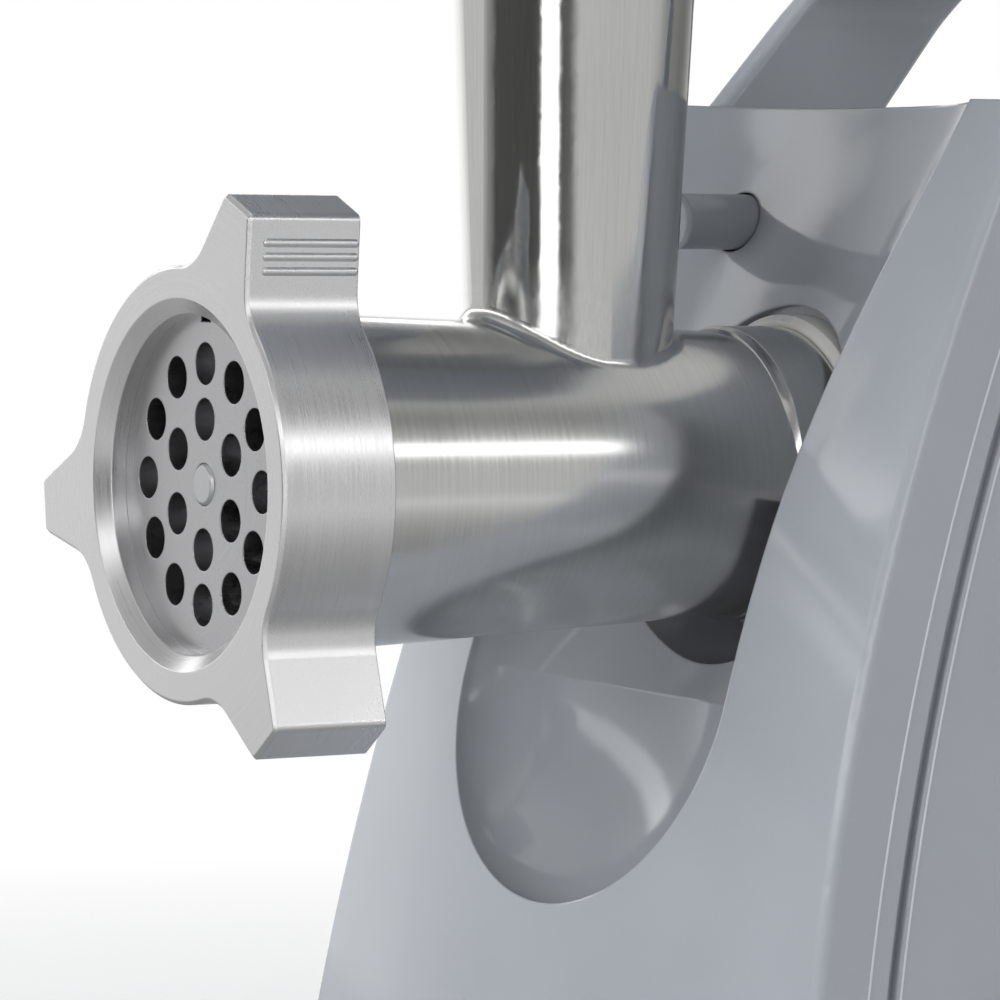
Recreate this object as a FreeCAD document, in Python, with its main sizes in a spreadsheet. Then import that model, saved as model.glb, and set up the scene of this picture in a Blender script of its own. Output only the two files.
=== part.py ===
import FreeCAD
import Part
import math
import os
import Sketcher

from types import SimpleNamespace
from FreeCAD import Placement, Rotation, Vector

# Driving sizes in millimetres. Lengths along the barrel are counted from the front face of the ring nut
# towards the back, heights from the barrel's axis, and widths from the middle plane.
SIZES = {
    # where the working frame stands over the table
    "axis_height": 165.0,
    "middle_back": 131.0,
    # ring nut
    "nut_radius": 41.0,
    "nut_length": 23.2,
    "nut_mouth_radius": 31.9,
    "nut_band_radius": 34.9,
    "nut_band_depth": 2.4,
    "nut_bore_radius": 37.3,
    "nut_lip": 5.5,
    "lug_reach": 57.0,
    "lug_flat": 10.4,
    "lug_root": 25.0,
    "lug_count": 3.0,
    "lug_turn": 22.5,
    "lug_blend": 11.0,
    # perforated plate
    "plate_radius": 34.0,
    "plate_back": 11.5,
    "plate_hole_radius": 4.0,
    "plate_inner_ring": 12.2,
    "plate_outer_ring": 22.6,
    "plate_inner_count": 6.0,
    "plate_outer_count": 12.0,
    # barrel
    "flange_front": 9.0,
    "flange_back": 21.0,
    "flange_radius": 37.0,
    "seat_radius": 34.3,
    "barrel_front_radius": 32.3,
    "barrel_rear_radius": 28.2,
    "barrel_end": 119.8,
    "bore_front_radius": 28.3,
    "bore_rear_radius": 24.4,
    "bore_end": 116.0,
    "back_wall_end": 121.2,
    "collar_radius": 29.3,
    "collar_start": 121.6,
    "collar_end": 134.5,
    "spigot_radius": 21.0,
    "spigot_end": 143.0,
    "spigot_bore": 17.5,
    "bayonet_reach": 23.5,
    "bayonet_front": 138.0,
    "bayonet_back": 142.0,
    # filler neck
    "neck_middle": 85.0,
    "neck_foot_depth": 19.3,
    "neck_top_depth": 22.9,
    "neck_foot_width": 18.8,
    "neck_top_width": 22.4,
    "neck_top": 110.0,
    "neck_corner": 18.0,
    "neck_wall": 2.8,
    "neck_blend": 3.0,
    # feed screw and what turns with it
    "screw_pin_radius": 4.0,
    "screw_front": 18.8,
    "screw_end": 113.4,
    "screw_core_front": 8.5,
    "screw_core_rear": 11.5,
    "screw_gap": 0.7,
    "screw_pitch": 27.0,
    "flight_width": 5.0,
    "square_stub": 12.0,
    "journal_radius": 9.0,
    "journal_end": 122.4,
    "blade_reach": 26.5,
    "blade_front": 11.8,
    "blade_back": 18.6,
    "coupling_radius": 15.5,
    "coupling_back": 146.0,
    "hex_flats": 20.0,
    "hub_radius": 16.5,
    "hub_front": 136.4,
    "hub_back": 153.6,
    "output_radius": 8.0,
    # casing
    "casing_front": 66.8,
    "front_arc": 640.0,
    "front_arc_level": -210.0,
    "casing_top": 75.0,
    "casing_bottom": -161.0,
    "casing_back": 259.5,
    "casing_crown": 262.0,
    "top_half_width": 75.5,
    "foot_half_width": 96.5,
    "side_arc": 2200.0,
    "top_corner": 13.0,
    "front_sweep_axis": 575.0,
    "casing_wall": 2.8,
    "seam_depth": 23.6,
    "seam_gap": 2.0,
    "seam_groove": 1.5,
    "ridge_round": 2.2,
    # recess in the front cover
    "scoop_level": -40.0,
    "scoop_tilt": 11.0,
    "scoop_width": 47.0,
    "scoop_depth": 24.0,
    "scoop_drop": 44.5,
    "pocket_radius": 33.4,
    "pocket_foot_radius": 38.0,
    "pocket_end": 141.0,
    "socket_radius": 31.5,
    "socket_front": 135.0,
    "socket_bore": 23.8,
    "socket_tail_radius": 26.5,
    "socket_tail_end": 147.0,
    # release button and lock
    "button_side": -25.0,
    "button_level": 49.7,
    "button_radius": 5.7,
    "button_front": 126.0,
    "button_back": 147.6,
    "button_bore": 4.5,
    "button_travel": 5.0,
    "spring_radius": 3.5,
    "spring_wire": 0.9,
    "lock_side": -12.0,
    "lock_level": 26.6,
    "lock_radius": 1.5,
    # gear train
    "plate_front_face": 155.0,
    "rear_plate_face": 190.0,
    "gear_plate_thickness": 4.0,
    "module_one": 0.75,
    "module_two": 1.0,
    "module_three": 1.5,
    "motor_pinion_teeth": 10.0,
    "first_wheel_teeth": 50.0,
    "first_pinion_teeth": 11.0,
    "second_wheel_teeth": 44.0,
    "second_pinion_teeth": 12.0,
    "output_teeth": 48.0,
    "second_shaft_side": 14.0,
    "first_shaft_side": -4.0,
    "motor_side": 0.0,
    "lay_radius": 3.0,
    "motor_shaft_radius": 4.0,
    # motor
    "stator_radius": 36.0,
    "stator_bore": 21.5,
    "stator_front": 208.0,
    "stator_back": 238.0,
    "armature_radius": 20.8,
    "commutator_radius": 11.0,
    "motor_end": 256.0,
    "fan_radius": 26.0,
    # handle
    "handle_foot_front": 164.8,
    "handle_foot_depth": 43.5,
    "handle_lean": 0.9,
    "handle_rise": 42.0,
    "handle_half_width": 71.0,
    "handle_thickness": 7.0,
    "handle_corner": 26.0,
    # tray and pusher
    "tray_half_width": 88.0,
    "tray_half_depth": 66.0,
    "tray_floor": 110.0,
    "tray_rim": 138.0,
    "tray_flare": 9.0,
    "tray_corner": 26.0,
    "tray_wall": 2.4,
    "pusher_half": 16.4,
    "pusher_foot": 48.0,
    "pusher_top": 184.0,
    "cap_round": 4.0,
    # base
    "base_level": -156.0,
    "base_thickness": 3.0,
    "foot_radius": 10.0,
    "foot_side": 68.0,
    "foot_front": 108.0,
    "foot_back": 226.0,
    # selector
    "knob_radius": 17.0,
    "knob_back": 206.0,
    "knob_level": -30.0,
    "knob_half_width": 81.7,
    "knob_depth": 10.0,
    # cord gland
    "gland_radius": 7.0,
    "gland_side": -38.0,
    "gland_level": -132.0,
}

doc = FreeCAD.newDocument("MeatGrinder")
sheet = doc.addObject("Spreadsheet::Sheet", "Sizes")
for row, (alias, number) in enumerate(SIZES.items(), start=1):
    sheet.set(f"A{row}", alias)
    sheet.set(f"B{row}", str(number))
    sheet.setAlias(f"B{row}", alias)
doc.recompute()


class Size:
    """A number together with the sheet formula that it comes from."""

    def __init__(self, value, text):
        self.value = float(value)
        self.text = text

    def __add__(self, other):
        other = size(other)
        return Size(self.value + other.value, f"({self.text} + {other.text})")

    def __sub__(self, other):
        other = size(other)
        return Size(self.value - other.value, f"({self.text} - {other.text})")

    def __mul__(self, other):
        other = size(other)
        return Size(self.value * other.value, f"({self.text} * {other.text})")

    def __truediv__(self, other):
        other = size(other)
        return Size(self.value / other.value, f"({self.text} / {other.text})")

    def __radd__(self, other):
        return size(other) + self

    def __rsub__(self, other):
        return size(other) - self

    def __rmul__(self, other):
        return size(other) * self

    def __neg__(self):
        return size(0) - self


def size(number):
    """The number as a Size."""
    if isinstance(number, Size):
        return number
    return Size(number, f"{float(number):.6f}")


def root(number):
    """The square root of a Size."""
    return Size(math.sqrt(number.value), f"sqrt({number.text})")


G = SimpleNamespace(**{a: Size(v, f"Sizes.{a}") for a, v in SIZES.items()})
Y_AXIS = Rotation(Vector(1, 0, 0), -90)
X_AXIS = Rotation(Vector(0, 1, 0), 90)
PLAIN = Rotation()


def bind(thing, path, number):
    """Set a property from the sheet."""
    thing.setExpression(path, size(number).text)


def place(thing, x=0, s=0, z=0, turn=PLAIN):
    """Stand a piece in the working frame: x across, s back from the nut's front, z over the barrel's axis."""
    world = (size(x), size(s) - G.middle_back, size(z) + G.axis_height)
    thing.Placement = Placement(Vector(*[w.value for w in world]), turn)
    for letter, w in zip("xyz", world):
        bind(thing, f"Placement.Base.{letter}", w)
    return thing


def rod(label, radius, start, end, x=0, z=0):
    """A round bar along the barrel's direction."""
    bar = doc.addObject("Part::Cylinder", label)
    bind(bar, "Radius", radius)
    bind(bar, "Height", size(end) - size(start))
    return place(bar, x, start, z, Y_AXIS)


def post(label, radius, low, high, x=0, s=0):
    """A round upright."""
    bar = doc.addObject("Part::Cylinder", label)
    bind(bar, "Radius", radius)
    bind(bar, "Height", size(high) - size(low))
    return place(bar, x, s, low)


def axle(label, radius, left, right, s=0, z=0):
    """A round bar from side to side."""
    bar = doc.addObject("Part::Cylinder", label)
    bind(bar, "Radius", radius)
    bind(bar, "Height", size(right) - size(left))
    return place(bar, left, s, z, X_AXIS)


def block(label, x, s, z):
    """A rectangular block between pairs of limits."""
    box = doc.addObject("Part::Box", label)
    for name, (low, high) in zip(("Length", "Width", "Height"), (x, s, z)):
        bind(box, name, size(high) - size(low))
    return place(box, x[0], s[0], z[0])


def fuse(label, pieces):
    """Pieces joined into one."""
    joined = doc.addObject("Part::MultiFuse", label)
    joined.Shapes = pieces
    joined.Refine = True
    return joined


def common(label, pieces):
    """The space that all pieces share."""
    shared = doc.addObject("Part::MultiCommon", label)
    shared.Shapes = pieces
    return shared


def cut(label, base, tools):
    """A base with tools taken away."""
    tool = tools[0] if len(tools) == 1 else fuse(f"{label}_tools", tools)
    left = doc.addObject("Part::Cut", label)
    left.Base = base
    left.Tool = tool
    return left


def group(label, pieces):
    """Separate pieces of one kind."""
    bundle = doc.addObject("Part::Compound", label)
    bundle.Links = pieces
    return bundle


def tube(label, outer, inner, start, end, x=0, z=0):
    """A round sleeve along the barrel's direction."""
    return cut(label, rod(f"{label}_out", outer, start, end, x, z), [
        rod(f"{label}_in", inner, size(start) - 1, size(end) + 1, x, z)
    ])


def new_body(label, x=0, s=0, z=0):
    """An empty body in the working frame."""
    return place(doc.addObject("PartDesign::Body", label), x, s, z)


def new_sketch(body, name, plane, offset=0):
    """A sketch on one of the body's own planes."""
    sketch = body.newObject("Sketcher::SketchObject", name)
    face = [f for f in body.Origin.OriginFeatures if f.Role == plane][0]
    sketch.AttachmentSupport = [(face, "")]
    sketch.MapMode = "FlatFace"
    if isinstance(offset, Size) or offset:
        sketch.AttachmentOffset = Placement(Vector(0, 0, size(offset).value), Rotation())
        bind(sketch, "AttachmentOffset.Base.z", offset)
    return sketch


def arc_between(start, end, radius, side):
    """The short arc from start to end that bulges to the given side of the line, with its turning sense."""
    middle = (start + end) * 0.5
    along = (end - start).normalize()
    left = Vector(-along.y, along.x, 0)
    half = (end - start).Length / 2
    rise = radius - math.sqrt(max(radius * radius - half * half, 0.0))
    return Part.Arc(start, middle + left * (rise * side), end), side < 0


def outline(sketch, corners):
    """Close a chain of edges through corners (u, v). A corner (u, v, radius, side) starts a curved edge."""
    points = [Vector(size(c[0]).value, size(c[1]).value, 0) for c in corners]
    count = len(corners)
    edges = []
    ends = []
    for i, corner in enumerate(corners):
        here, there = points[i], points[(i + 1) % count]
        if len(corner) == 2:
            edges.append(Part.LineSegment(here, there))
            ends.append((1, 2))
            continue
        curve, forward = arc_between(here, there, size(corner[2]).value, corner[3])
        edges.append(curve)
        ends.append((1, 2) if forward else (2, 1))
    first = sketch.GeometryCount
    sketch.addGeometry(edges, False)
    rules = []
    bound = []
    for i, corner in enumerate(corners):
        here, after = first + i, first + (i + 1) % count
        rules.append(Sketcher.Constraint("Coincident", here, ends[i][1], after, ends[(i + 1) % count][0]))
    for i, corner in enumerate(corners):
        here = first + i
        for kind, number in zip(("DistanceX", "DistanceY"), corner):
            bound.append((len(rules), number))
            rules.append(Sketcher.Constraint(kind, -1, 1, here, ends[i][0], size(number).value))
        if len(corner) > 2:
            bound.append((len(rules), corner[2]))
            rules.append(Sketcher.Constraint("Radius", here, size(corner[2]).value))
    taken = sketch.ConstraintCount
    sketch.addConstraint(rules)
    for index, number in bound:
        name = f"d{taken + index}"
        sketch.renameConstraint(taken + index, name)
        bind(sketch, f"Constraints.{name}", number)
    return sketch


def ring_line(sketch, radius, u=0, v=0):
    """A circle in a sketch."""
    middle = Vector(size(u).value, size(v).value, 0)
    index = sketch.addGeometry(Part.Circle(middle, Vector(0, 0, 1), size(radius).value), False)
    for kind, number in (("DistanceX", u), ("DistanceY", v)):
        rule = sketch.addConstraint(Sketcher.Constraint(kind, -1, 1, index, 3, size(number).value))
        sketch.renameConstraint(rule, f"d{rule}")
        bind(sketch, f"Constraints.d{rule}", number)
    rule = sketch.addConstraint(Sketcher.Constraint("Radius", index, size(radius).value))
    sketch.renameConstraint(rule, f"d{rule}")
    bind(sketch, f"Constraints.d{rule}", radius)
    return sketch


def pad(body, sketch, length, middle=False, back=False):
    """Material pulled out of a sketch."""
    feature = body.newObject("PartDesign::Pad", f"{sketch.Name}_pad")
    feature.Profile = sketch
    bind(feature, "Length", length)
    feature.Midplane = middle
    feature.Reversed = back
    sketch.Visibility = False
    return feature


def turned(label, profile, x=0, z=0):
    """A lathe piece: a profile of (distance back, radius) turned about the barrel's direction."""
    body = new_body(label, x, 0, z)
    sketch = outline(new_sketch(body, f"{label}_profile", "YZ_Plane"), profile)
    feature = body.newObject("PartDesign::Revolution", f"{label}_turn")
    feature.Profile = sketch
    feature.ReferenceAxis = (sketch, ["H_Axis"])
    feature.Angle = 360
    doc.recompute()
    return body


def edge_names(feature, test):
    """The names of the edges that pass a test."""
    return [f"Edge{i}" for i, e in enumerate(feature.Shape.Edges, start=1) if test(e)]


def rounded(body, feature, test, radius, kind="PartDesign::Fillet"):
    """Round or bevel the edges of a body's feature that pass a test."""
    doc.recompute()
    names = edge_names(feature, test)
    soft = body.newObject(kind, f"{feature.Name}_soft")
    soft.Base = (feature, names)
    bind(soft, "Radius" if kind.endswith("Fillet") else "Size", radius)
    body.Tip = soft
    return soft


def soft_rectangle(sketch, width, depth, corner):
    """A rectangle of half width and half depth with rounded corners."""
    w, d, c = size(width), size(depth), size(corner)
    return outline(sketch, [
        (c - w, -d),
        (w - c, -d, c, -1),
        (w, c - d),
        (w, d - c, c, -1),
        (w - c, d),
        (c - w, d, c, -1),
        (-w, d - c),
        (-w, c - d, c, -1),
    ])


def frustum(label, low, high, corner, s=0):
    """A tapering block with rounded corners, between levels of (height, half width, half depth)."""
    body = new_body(label, 0, s, 0)
    sections = [
        soft_rectangle(new_sketch(body, f"{label}_{name}", "XY_Plane", level), width, depth, corner)
        for name, (level, width, depth) in (("foot", low), ("head", high))
    ]
    loft = body.newObject("PartDesign::AdditiveLoft", f"{label}_loft")
    loft.Profile = sections[0]
    loft.Sections = [sections[1]]
    loft.Ruled = True
    body.Tip = loft
    doc.recompute()
    return body


def bolt(label, head, shank, head_long, shank_long, x, s, z, turn):
    """A screw: a round head and a plain shank that runs on from under it."""
    parts = []
    for name, radius, low, long in (("head", head, -head_long, head_long), ("shank", shank, 0, shank_long)):
        bar = doc.addObject("Part::Cylinder", f"{label}_{name}")
        bar.Radius = radius
        bar.Height = long
        shift = turn.multVec(Vector(0, 0, low))
        place(bar, size(x) + shift.x, size(s) + shift.y, size(z) + shift.z, turn)
        parts.append(bar)
    return fuse(label, parts)


# The casing's form, shared by its shells: a leaning front swept about an upright line far behind, sides that
# flare towards the table, and a rounded back.
def front_line(level, inset, shift=0):
    """How far back the casing's front stands at a level."""
    radius = G.front_arc - inset
    rise = size(level) - G.front_arc_level
    return G.casing_front + G.front_arc + shift - root(radius * radius - rise * rise)


def casing_form(label, inset, floor=0):
    """The casing's outer form moved inwards by an inset, and its floor moved by another."""
    inset = size(inset)
    bottom = G.casing_bottom + floor
    sweep = new_body(f"{label}_sweep")
    high, low = G.casing_top + 40, bottom - 4
    sketch = outline(new_sketch(sweep, f"{label}_sweep_line", "YZ_Plane"), [
        (front_line(low, inset), low),
        (size(420), low),
        (size(420), high),
        (front_line(high, inset), high, G.front_arc - inset, -1),
    ])
    turn = sweep.newObject("PartDesign::Revolution", f"{label}_sweep_turn")
    line = sketch.addGeometry(Part.LineSegment(Vector(575, -200, 0), Vector(575, 200, 0)), True)
    sketch.addConstraint(Sketcher.Constraint("Vertical", line))
    rule = sketch.addConstraint(Sketcher.Constraint("DistanceX", -1, 1, line, 1, 575.0))
    sketch.renameConstraint(rule, "sweep_axis")
    bind(sketch, "Constraints.sweep_axis", G.front_sweep_axis)
    turn.Profile = sketch
    turn.ReferenceAxis = (sketch, ["Axis0"])
    turn.Angle = 46
    turn.Midplane = True

    side = new_body(f"{label}_side")
    top, back = G.casing_top - inset, G.casing_crown - inset
    round_back = size(44) - inset
    sketch = outline(new_sketch(side, f"{label}_side_line", "YZ_Plane"), [
        (size(40), bottom),
        (back - 5, bottom),
        (back, size(-70), size(460) - inset, -1),
        (back - 8, top - 50, round_back, -1),
        (back - 45, top - 8),
        (size(130), top),
        (size(40), top),
    ])
    pad(side, sketch, 240, middle=True)

    face = new_body(f"{label}_face")
    wide, foot = G.top_half_width - inset, G.foot_half_width - inset
    drop = G.top_corner
    sketch = outline(new_sketch(face, f"{label}_face_line", "XZ_Plane"), [
        (-foot, bottom),
        (foot, bottom, G.side_arc, 1),
        (wide, top - drop, drop, -1),
        (wide - drop, top),
        (drop - wide, top, drop, -1),
        (-wide, top - drop, G.side_arc, 1),
    ])
    pad(face, sketch, 300, back=True)

    plan = new_body(f"{label}_plan", 0, 0, bottom - 4)
    rear = G.casing_back - inset
    sketch = outline(new_sketch(plan, f"{label}_plan_line", "XY_Plane"), [
        (size(-100), size(40)),
        (size(100), size(40)),
        (size(100) - inset, size(186), size(62) - inset, -1),
        (size(42), rear, size(355), -1),
        (size(-42), rear, size(62) - inset, -1),
        (inset - 100, size(186)),
    ])
    pad(plan, sketch, 260)
    doc.recompute()
    return common(label, [sweep, side, face, plan])



NODES = []


def finish(thing, label=None):
    """Keep a piece as one of the part's nodes."""
    if label:
        thing.Label = label
    NODES.append(thing)
    return thing


def mirrored_spots(x, *spots):
    """The same spots on both sides of the middle plane."""
    return [(sign * x, *spot) for spot in spots for sign in (-1, 1)]


def zone(label, shift):
    """All that stands in front of the casing's front moved back by a shift."""
    body = new_body(label)
    low, high = G.casing_bottom - 15, G.casing_top + 30
    sketch = outline(new_sketch(body, f"{label}_line", "YZ_Plane"), [
        (size(20), low),
        (front_line(low, 0, shift), low, G.front_arc, 1),
        (front_line(high, 0, shift), high),
        (size(20), high),
    ])
    pad(body, sketch, 260, middle=True)
    return body


# half width and depth of the recess at levels over the scoop
DISH = ((0.0, 47.3, 29.0), (33.0, 52.0, 24.0), (55.0, 56.7, 20.5), (88.0, 61.5, 13.0))


def recess(label, grow):
    """The scooped recess: a rounded bottom, a dish open to the top and a round pocket for the collar."""
    lean = Rotation(Vector(1, 0, 0), -SIZES["scoop_tilt"])
    grow = size(grow)
    bottom = doc.addObject("Part::Ellipsoid", f"{label}_bottom")
    bind(bottom, "Radius1", G.scoop_drop + grow)
    bind(bottom, "Radius2", G.scoop_width + grow)
    bind(bottom, "Radius3", G.scoop_depth + grow)
    place(bottom, 0, front_line(G.scoop_level, 0), G.scoop_level, lean)
    sections = []
    levels = ((G.scoop_level, G.scoop_width, G.scoop_depth),) + DISH
    for i, (level, width, depth) in enumerate(levels):
        ring = doc.addObject("Part::Ellipse", f"{label}_ring{i}")
        bind(ring, "MajorRadius", width + grow)
        bind(ring, "MinorRadius", depth + grow)
        sections.append(place(ring, 0, front_line(level, 0), level, lean))
    dish = doc.addObject("Part::Loft", f"{label}_dish")
    dish.Sections = sections
    dish.Solid = True
    dish.Ruled = False
    pocket = rod(f"{label}_pocket", G.pocket_radius + grow, 104, G.pocket_end + grow)
    lower = common(f"{label}_lower_pocket", [
        rod(f"{label}_wide_pocket", G.pocket_foot_radius + grow, 104, G.pocket_end + grow),
        block(f"{label}_pocket_half", (-60, 60), (100, 150), (-60, -6 + grow)),
    ])
    return [bottom, dish, pocket, lower]


def on_front(edge):
    """Whether an edge of the casing's form runs along the ridge between its front and its sides."""
    middle = edge.valueAt((edge.FirstParameter + edge.LastParameter) / 2)
    level = middle.z - SIZES["axis_height"]
    back = middle.y + SIZES["middle_back"]
    line = front_line(level, 0).value
    return abs(middle.x) > 55 and -2 < back - line < 14 and level > SIZES["casing_bottom"] + 3


raw_form = casing_form("raw_form", 0)
doc.recompute()
form = doc.addObject("Part::Fillet", "casing_form")
form.Base = raw_form
form.Edges = [
    (i, SIZES["ridge_round"], SIZES["ridge_round"])
    for i, e in enumerate(raw_form.Shape.Edges, start=1)
    if on_front(e)
]
hollow = casing_form("casing_hollow", G.casing_wall, floor=-6)
shell = cut("casing_shell", form, [hollow])
groove = common("seam_groove", [
    cut("seam_skin", form, [casing_form("seam_floor", G.seam_groove, floor=-6)]),
    zone("seam_zone", G.seam_depth + G.seam_gap),
])
doc.recompute()

# Front cover: the leaning panel, the recess moulded into it, the bosses for the gear plate.
bowl = common("cover_bowl", [fuse("cover_bowl_wall", recess("bowl", G.casing_wall)), form])
bosses = [
    rod(f"cover_boss{i}", 3.6, G.pocket_end + 1, G.plate_front_face, x, z)
    for i, (x, z) in enumerate(mirrored_spots(24.7, (24.7,), (-24.7,)))
]
boss_bores = [
    rod(f"cover_boss_bore{i}", 1.6, G.pocket_end + 4, G.plate_front_face + 1, x, z)
    for i, (x, z) in enumerate(mirrored_spots(24.7, (24.7,), (-24.7,)))
]
button_hole = (G.button_radius + 0.4, G.button_front, G.button_back + 6, G.button_side, G.button_level)
lock_hole = (G.lock_radius + 0.5, G.pocket_end - 2, G.pocket_end + 8, G.lock_side, G.lock_level)
cover = fuse("cover_blank", [common("cover_band", [shell, zone("cover_zone", G.seam_depth)]), bowl] + bosses)
finish(cut("front_cover", cover, recess("scoop", 0) + boss_bores + [
    rod("cover_socket_hole", G.socket_tail_radius + 0.2, G.pocket_end - 2, G.pocket_end + 8),
    rod("cover_button_hole", *button_hole),
    rod("cover_lock_hole", *lock_hole),
]))

# Rear casing: the shell behind the seam with its screw posts, knob seat, vents and gland hole.
post_spots = mirrored_spots(85, (122,)) + mirrored_spots(71, (243,))
posts = [
    post(f"casing_post{i}", 5.2, G.base_level, G.base_level + 24, x, s)
    for i, (x, s) in enumerate(post_spots)
]
knob_spot = (G.knob_back, G.knob_level)
seat_span = (G.knob_half_width - 12, G.knob_half_width + 2)
knob_seat = cut("knob_seat", axle("knob_seat_disc", G.knob_radius + 3, *seat_span, *knob_spot), [hollow])
casing = fuse("casing_blank", [
    cut("casing_rear_shell", shell, [zone("rear_zone", G.seam_depth + 0.05), groove]),
    common("casing_posts", [fuse("casing_posts_all", posts), form]),
    knob_seat,
])
vents = [
    block(f"vent{i}", (-32 + abs(i - 3) * 3, 32 - abs(i - 3) * 3), (250, 270), (-112 + 8 * i, -108.6 + 8 * i))
    for i in range(7)
]
finish(cut("rear_casing", casing, vents + [
    post(f"casing_post_bore{i}", 1.6, G.base_level - 1, G.base_level + 18, x, s)
    for i, (x, s) in enumerate(post_spots)
] + [
    axle("knob_hole", 4.5, G.knob_half_width - 14, G.knob_half_width + 4, G.knob_back, G.knob_level),
    rod("gland_hole", G.gland_radius + 0.05, 250, 270, G.gland_side, G.gland_level),
]))

# Base plate with air slots, its screws and the rubber feet.
feet_spots = mirrored_spots(SIZES["foot_side"], (SIZES["foot_front"],), (SIZES["foot_back"],))
slab = common("base_slab", [
    casing_form("base_form", G.casing_wall + 0.4, floor=-6),
    block("base_level_slab", (-120, 120), (40, 280), (G.base_level - G.base_thickness, G.base_level)),
])
slots = [
    block(f"air_slot{i}", (-34, 34), (176 + 8 * i, 179.4 + 8 * i), (G.base_level - 6, G.base_level + 3))
    for i in range(7)
]
finish(cut("base_plate", slab, slots + [
    post(f"base_screw_hole{i}", 1.8, G.base_level - 5, G.base_level + 3, x, s)
    for i, (x, s) in enumerate(post_spots)
] + [
    post(f"base_foot_hole{i}", 3.1, G.base_level - 5, G.base_level + 3, x, s)
    for i, (x, s) in enumerate(feet_spots)
]))
feet = []
for i, (x, s) in enumerate(feet_spots):
    pad_round = doc.addObject("Part::Cone", f"foot_pad{i}")
    bind(pad_round, "Radius1", G.foot_radius - 1.2)
    bind(pad_round, "Radius2", G.foot_radius)
    bind(pad_round, "Height", G.axis_height + G.base_level - G.base_thickness)
    place(pad_round, x, s, -G.axis_height)
    stud = post(f"foot_stud{i}", 3, G.base_level - G.base_thickness, G.base_level + 1, x, s)
    bulb = post(f"foot_bulb{i}", 4.2, G.base_level, G.base_level + 2.5, x, s)
    feet.append(fuse(f"foot{i}", [pad_round, stud, bulb]))
finish(group("feet", feet))
UP = Rotation()
finish(group("base_screws", [
    bolt(f"base_screw{i}", 3.2, 1.5, 2.0, 15.0, x, s, G.base_level - G.base_thickness, UP)
    for i, (x, s) in enumerate(post_spots)
]))

# Carrying handle: a broad strap that arches over the top and leans back.
arch = new_body("handle_arch")
wide, inner = G.handle_half_width, G.handle_half_width - G.handle_thickness
crest, bend, inner_bend = G.casing_top + G.handle_rise, G.handle_corner, G.handle_corner - G.handle_thickness
foot = size(45)
pad(arch, outline(new_sketch(arch, "handle_arch_line", "XZ_Plane"), [
    (-wide, foot),
    (-inner, foot),
    (-inner, crest - bend, inner_bend, 1),
    (inner_bend - inner, crest - G.handle_thickness),
    (inner - inner_bend, crest - G.handle_thickness, inner_bend, 1),
    (inner, crest - bend),
    (inner, foot),
    (wide, foot),
    (wide, crest - bend, bend, -1),
    (wide - bend, crest),
    (bend - wide, crest, bend, -1),
    (-wide, crest - bend),
]), 300, back=True)
lean = new_body("handle_lean_form")
drop = foot - G.casing_top
rear_lean = G.handle_lean - 0.12
pad(lean, outline(new_sketch(lean, "handle_lean_line", "YZ_Plane"), [
    (G.handle_foot_front + G.handle_lean * drop, foot),
    (G.handle_foot_front + G.handle_foot_depth + rear_lean * drop, foot),
    (G.handle_foot_front + G.handle_foot_depth + rear_lean * G.handle_rise, crest + 0.01),
    (G.handle_foot_front + G.handle_lean * G.handle_rise, crest + 0.01),
]), 200, middle=True)
strap = common("handle_strap", [arch, lean])
doc.recompute()


def strap_edge(edge):
    """The long edges of the strap, not the short ones across the ends of its legs."""
    box = edge.BoundBox
    leg_end = box.YLength < 0.01 and box.ZLength < 0.01 and box.XLength < 10
    run = abs(edge.Vertexes[0].Y - edge.Vertexes[-1].Y)
    return box.ZMin > SIZES["axis_height"] + 40 and not leg_end and run < 45


soft_strap = doc.addObject("Part::Fillet", "handle_soft")
soft_strap.Base = strap
soft_strap.Edges = [
    (i, 2.2, 2.2)
    for i, e in enumerate(strap.Shape.Edges, start=1)
    if strap_edge(e)
]
finish(cut("carry_handle", soft_strap, [form]))

# Ring nut: a round body with finger lugs, a bevelled mouth and a wide bore behind its lip.
nut = new_body("nut_blank")
nut.Placement = Placement(nut.Placement.Base, Rotation(Vector(0, 1, 0), SIZES["lug_turn"]))
nut_circle = ring_line(new_sketch(nut, "nut_circle", "XZ_Plane"), G.nut_radius)
nut_round = pad(nut, nut_circle, G.nut_length, back=True)
lug_foot, lug_tip = G.nut_radius - 5, G.lug_reach
lug_sketch = outline(new_sketch(nut, "nut_lug", "XZ_Plane"), [
    (-(G.lug_root / 2), lug_foot),
    (G.lug_root / 2, lug_foot),
    (G.lug_flat / 2, lug_tip),
    (-(G.lug_flat / 2), lug_tip),
])
lug = pad(nut, lug_sketch, G.nut_length, back=True)
lugs = nut.newObject("PartDesign::PolarPattern", "nut_lugs")
lugs.Originals = [lug]
lugs.Axis = (lug_sketch, ["N_Axis"])
lugs.Angle = 360
bind(lugs, "Occurrences", G.lug_count)
nut.Tip = lugs


def lengthwise_at(low, high):
    """Edges that run the barrel's way, between two distances from the axis."""
    def test(edge):
        a, b = edge.Vertexes[0].Point, edge.Vertexes[-1].Point
        return abs(a.y - b.y) > 5 and low < math.hypot(a.x, a.z) < high
    return test


soft_lugs = rounded(nut, lugs, lengthwise_at(38, 45), G.lug_blend)
soft_tips = rounded(nut, soft_lugs, lengthwise_at(53, 60), 1.6)
doc.recompute()


def on_mouth(edge):
    """Edges that lie in the nut's front face."""
    return max(v.Y for v in edge.Vertexes) < 0.01 and edge.BoundBox.YLength < 0.01


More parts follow.
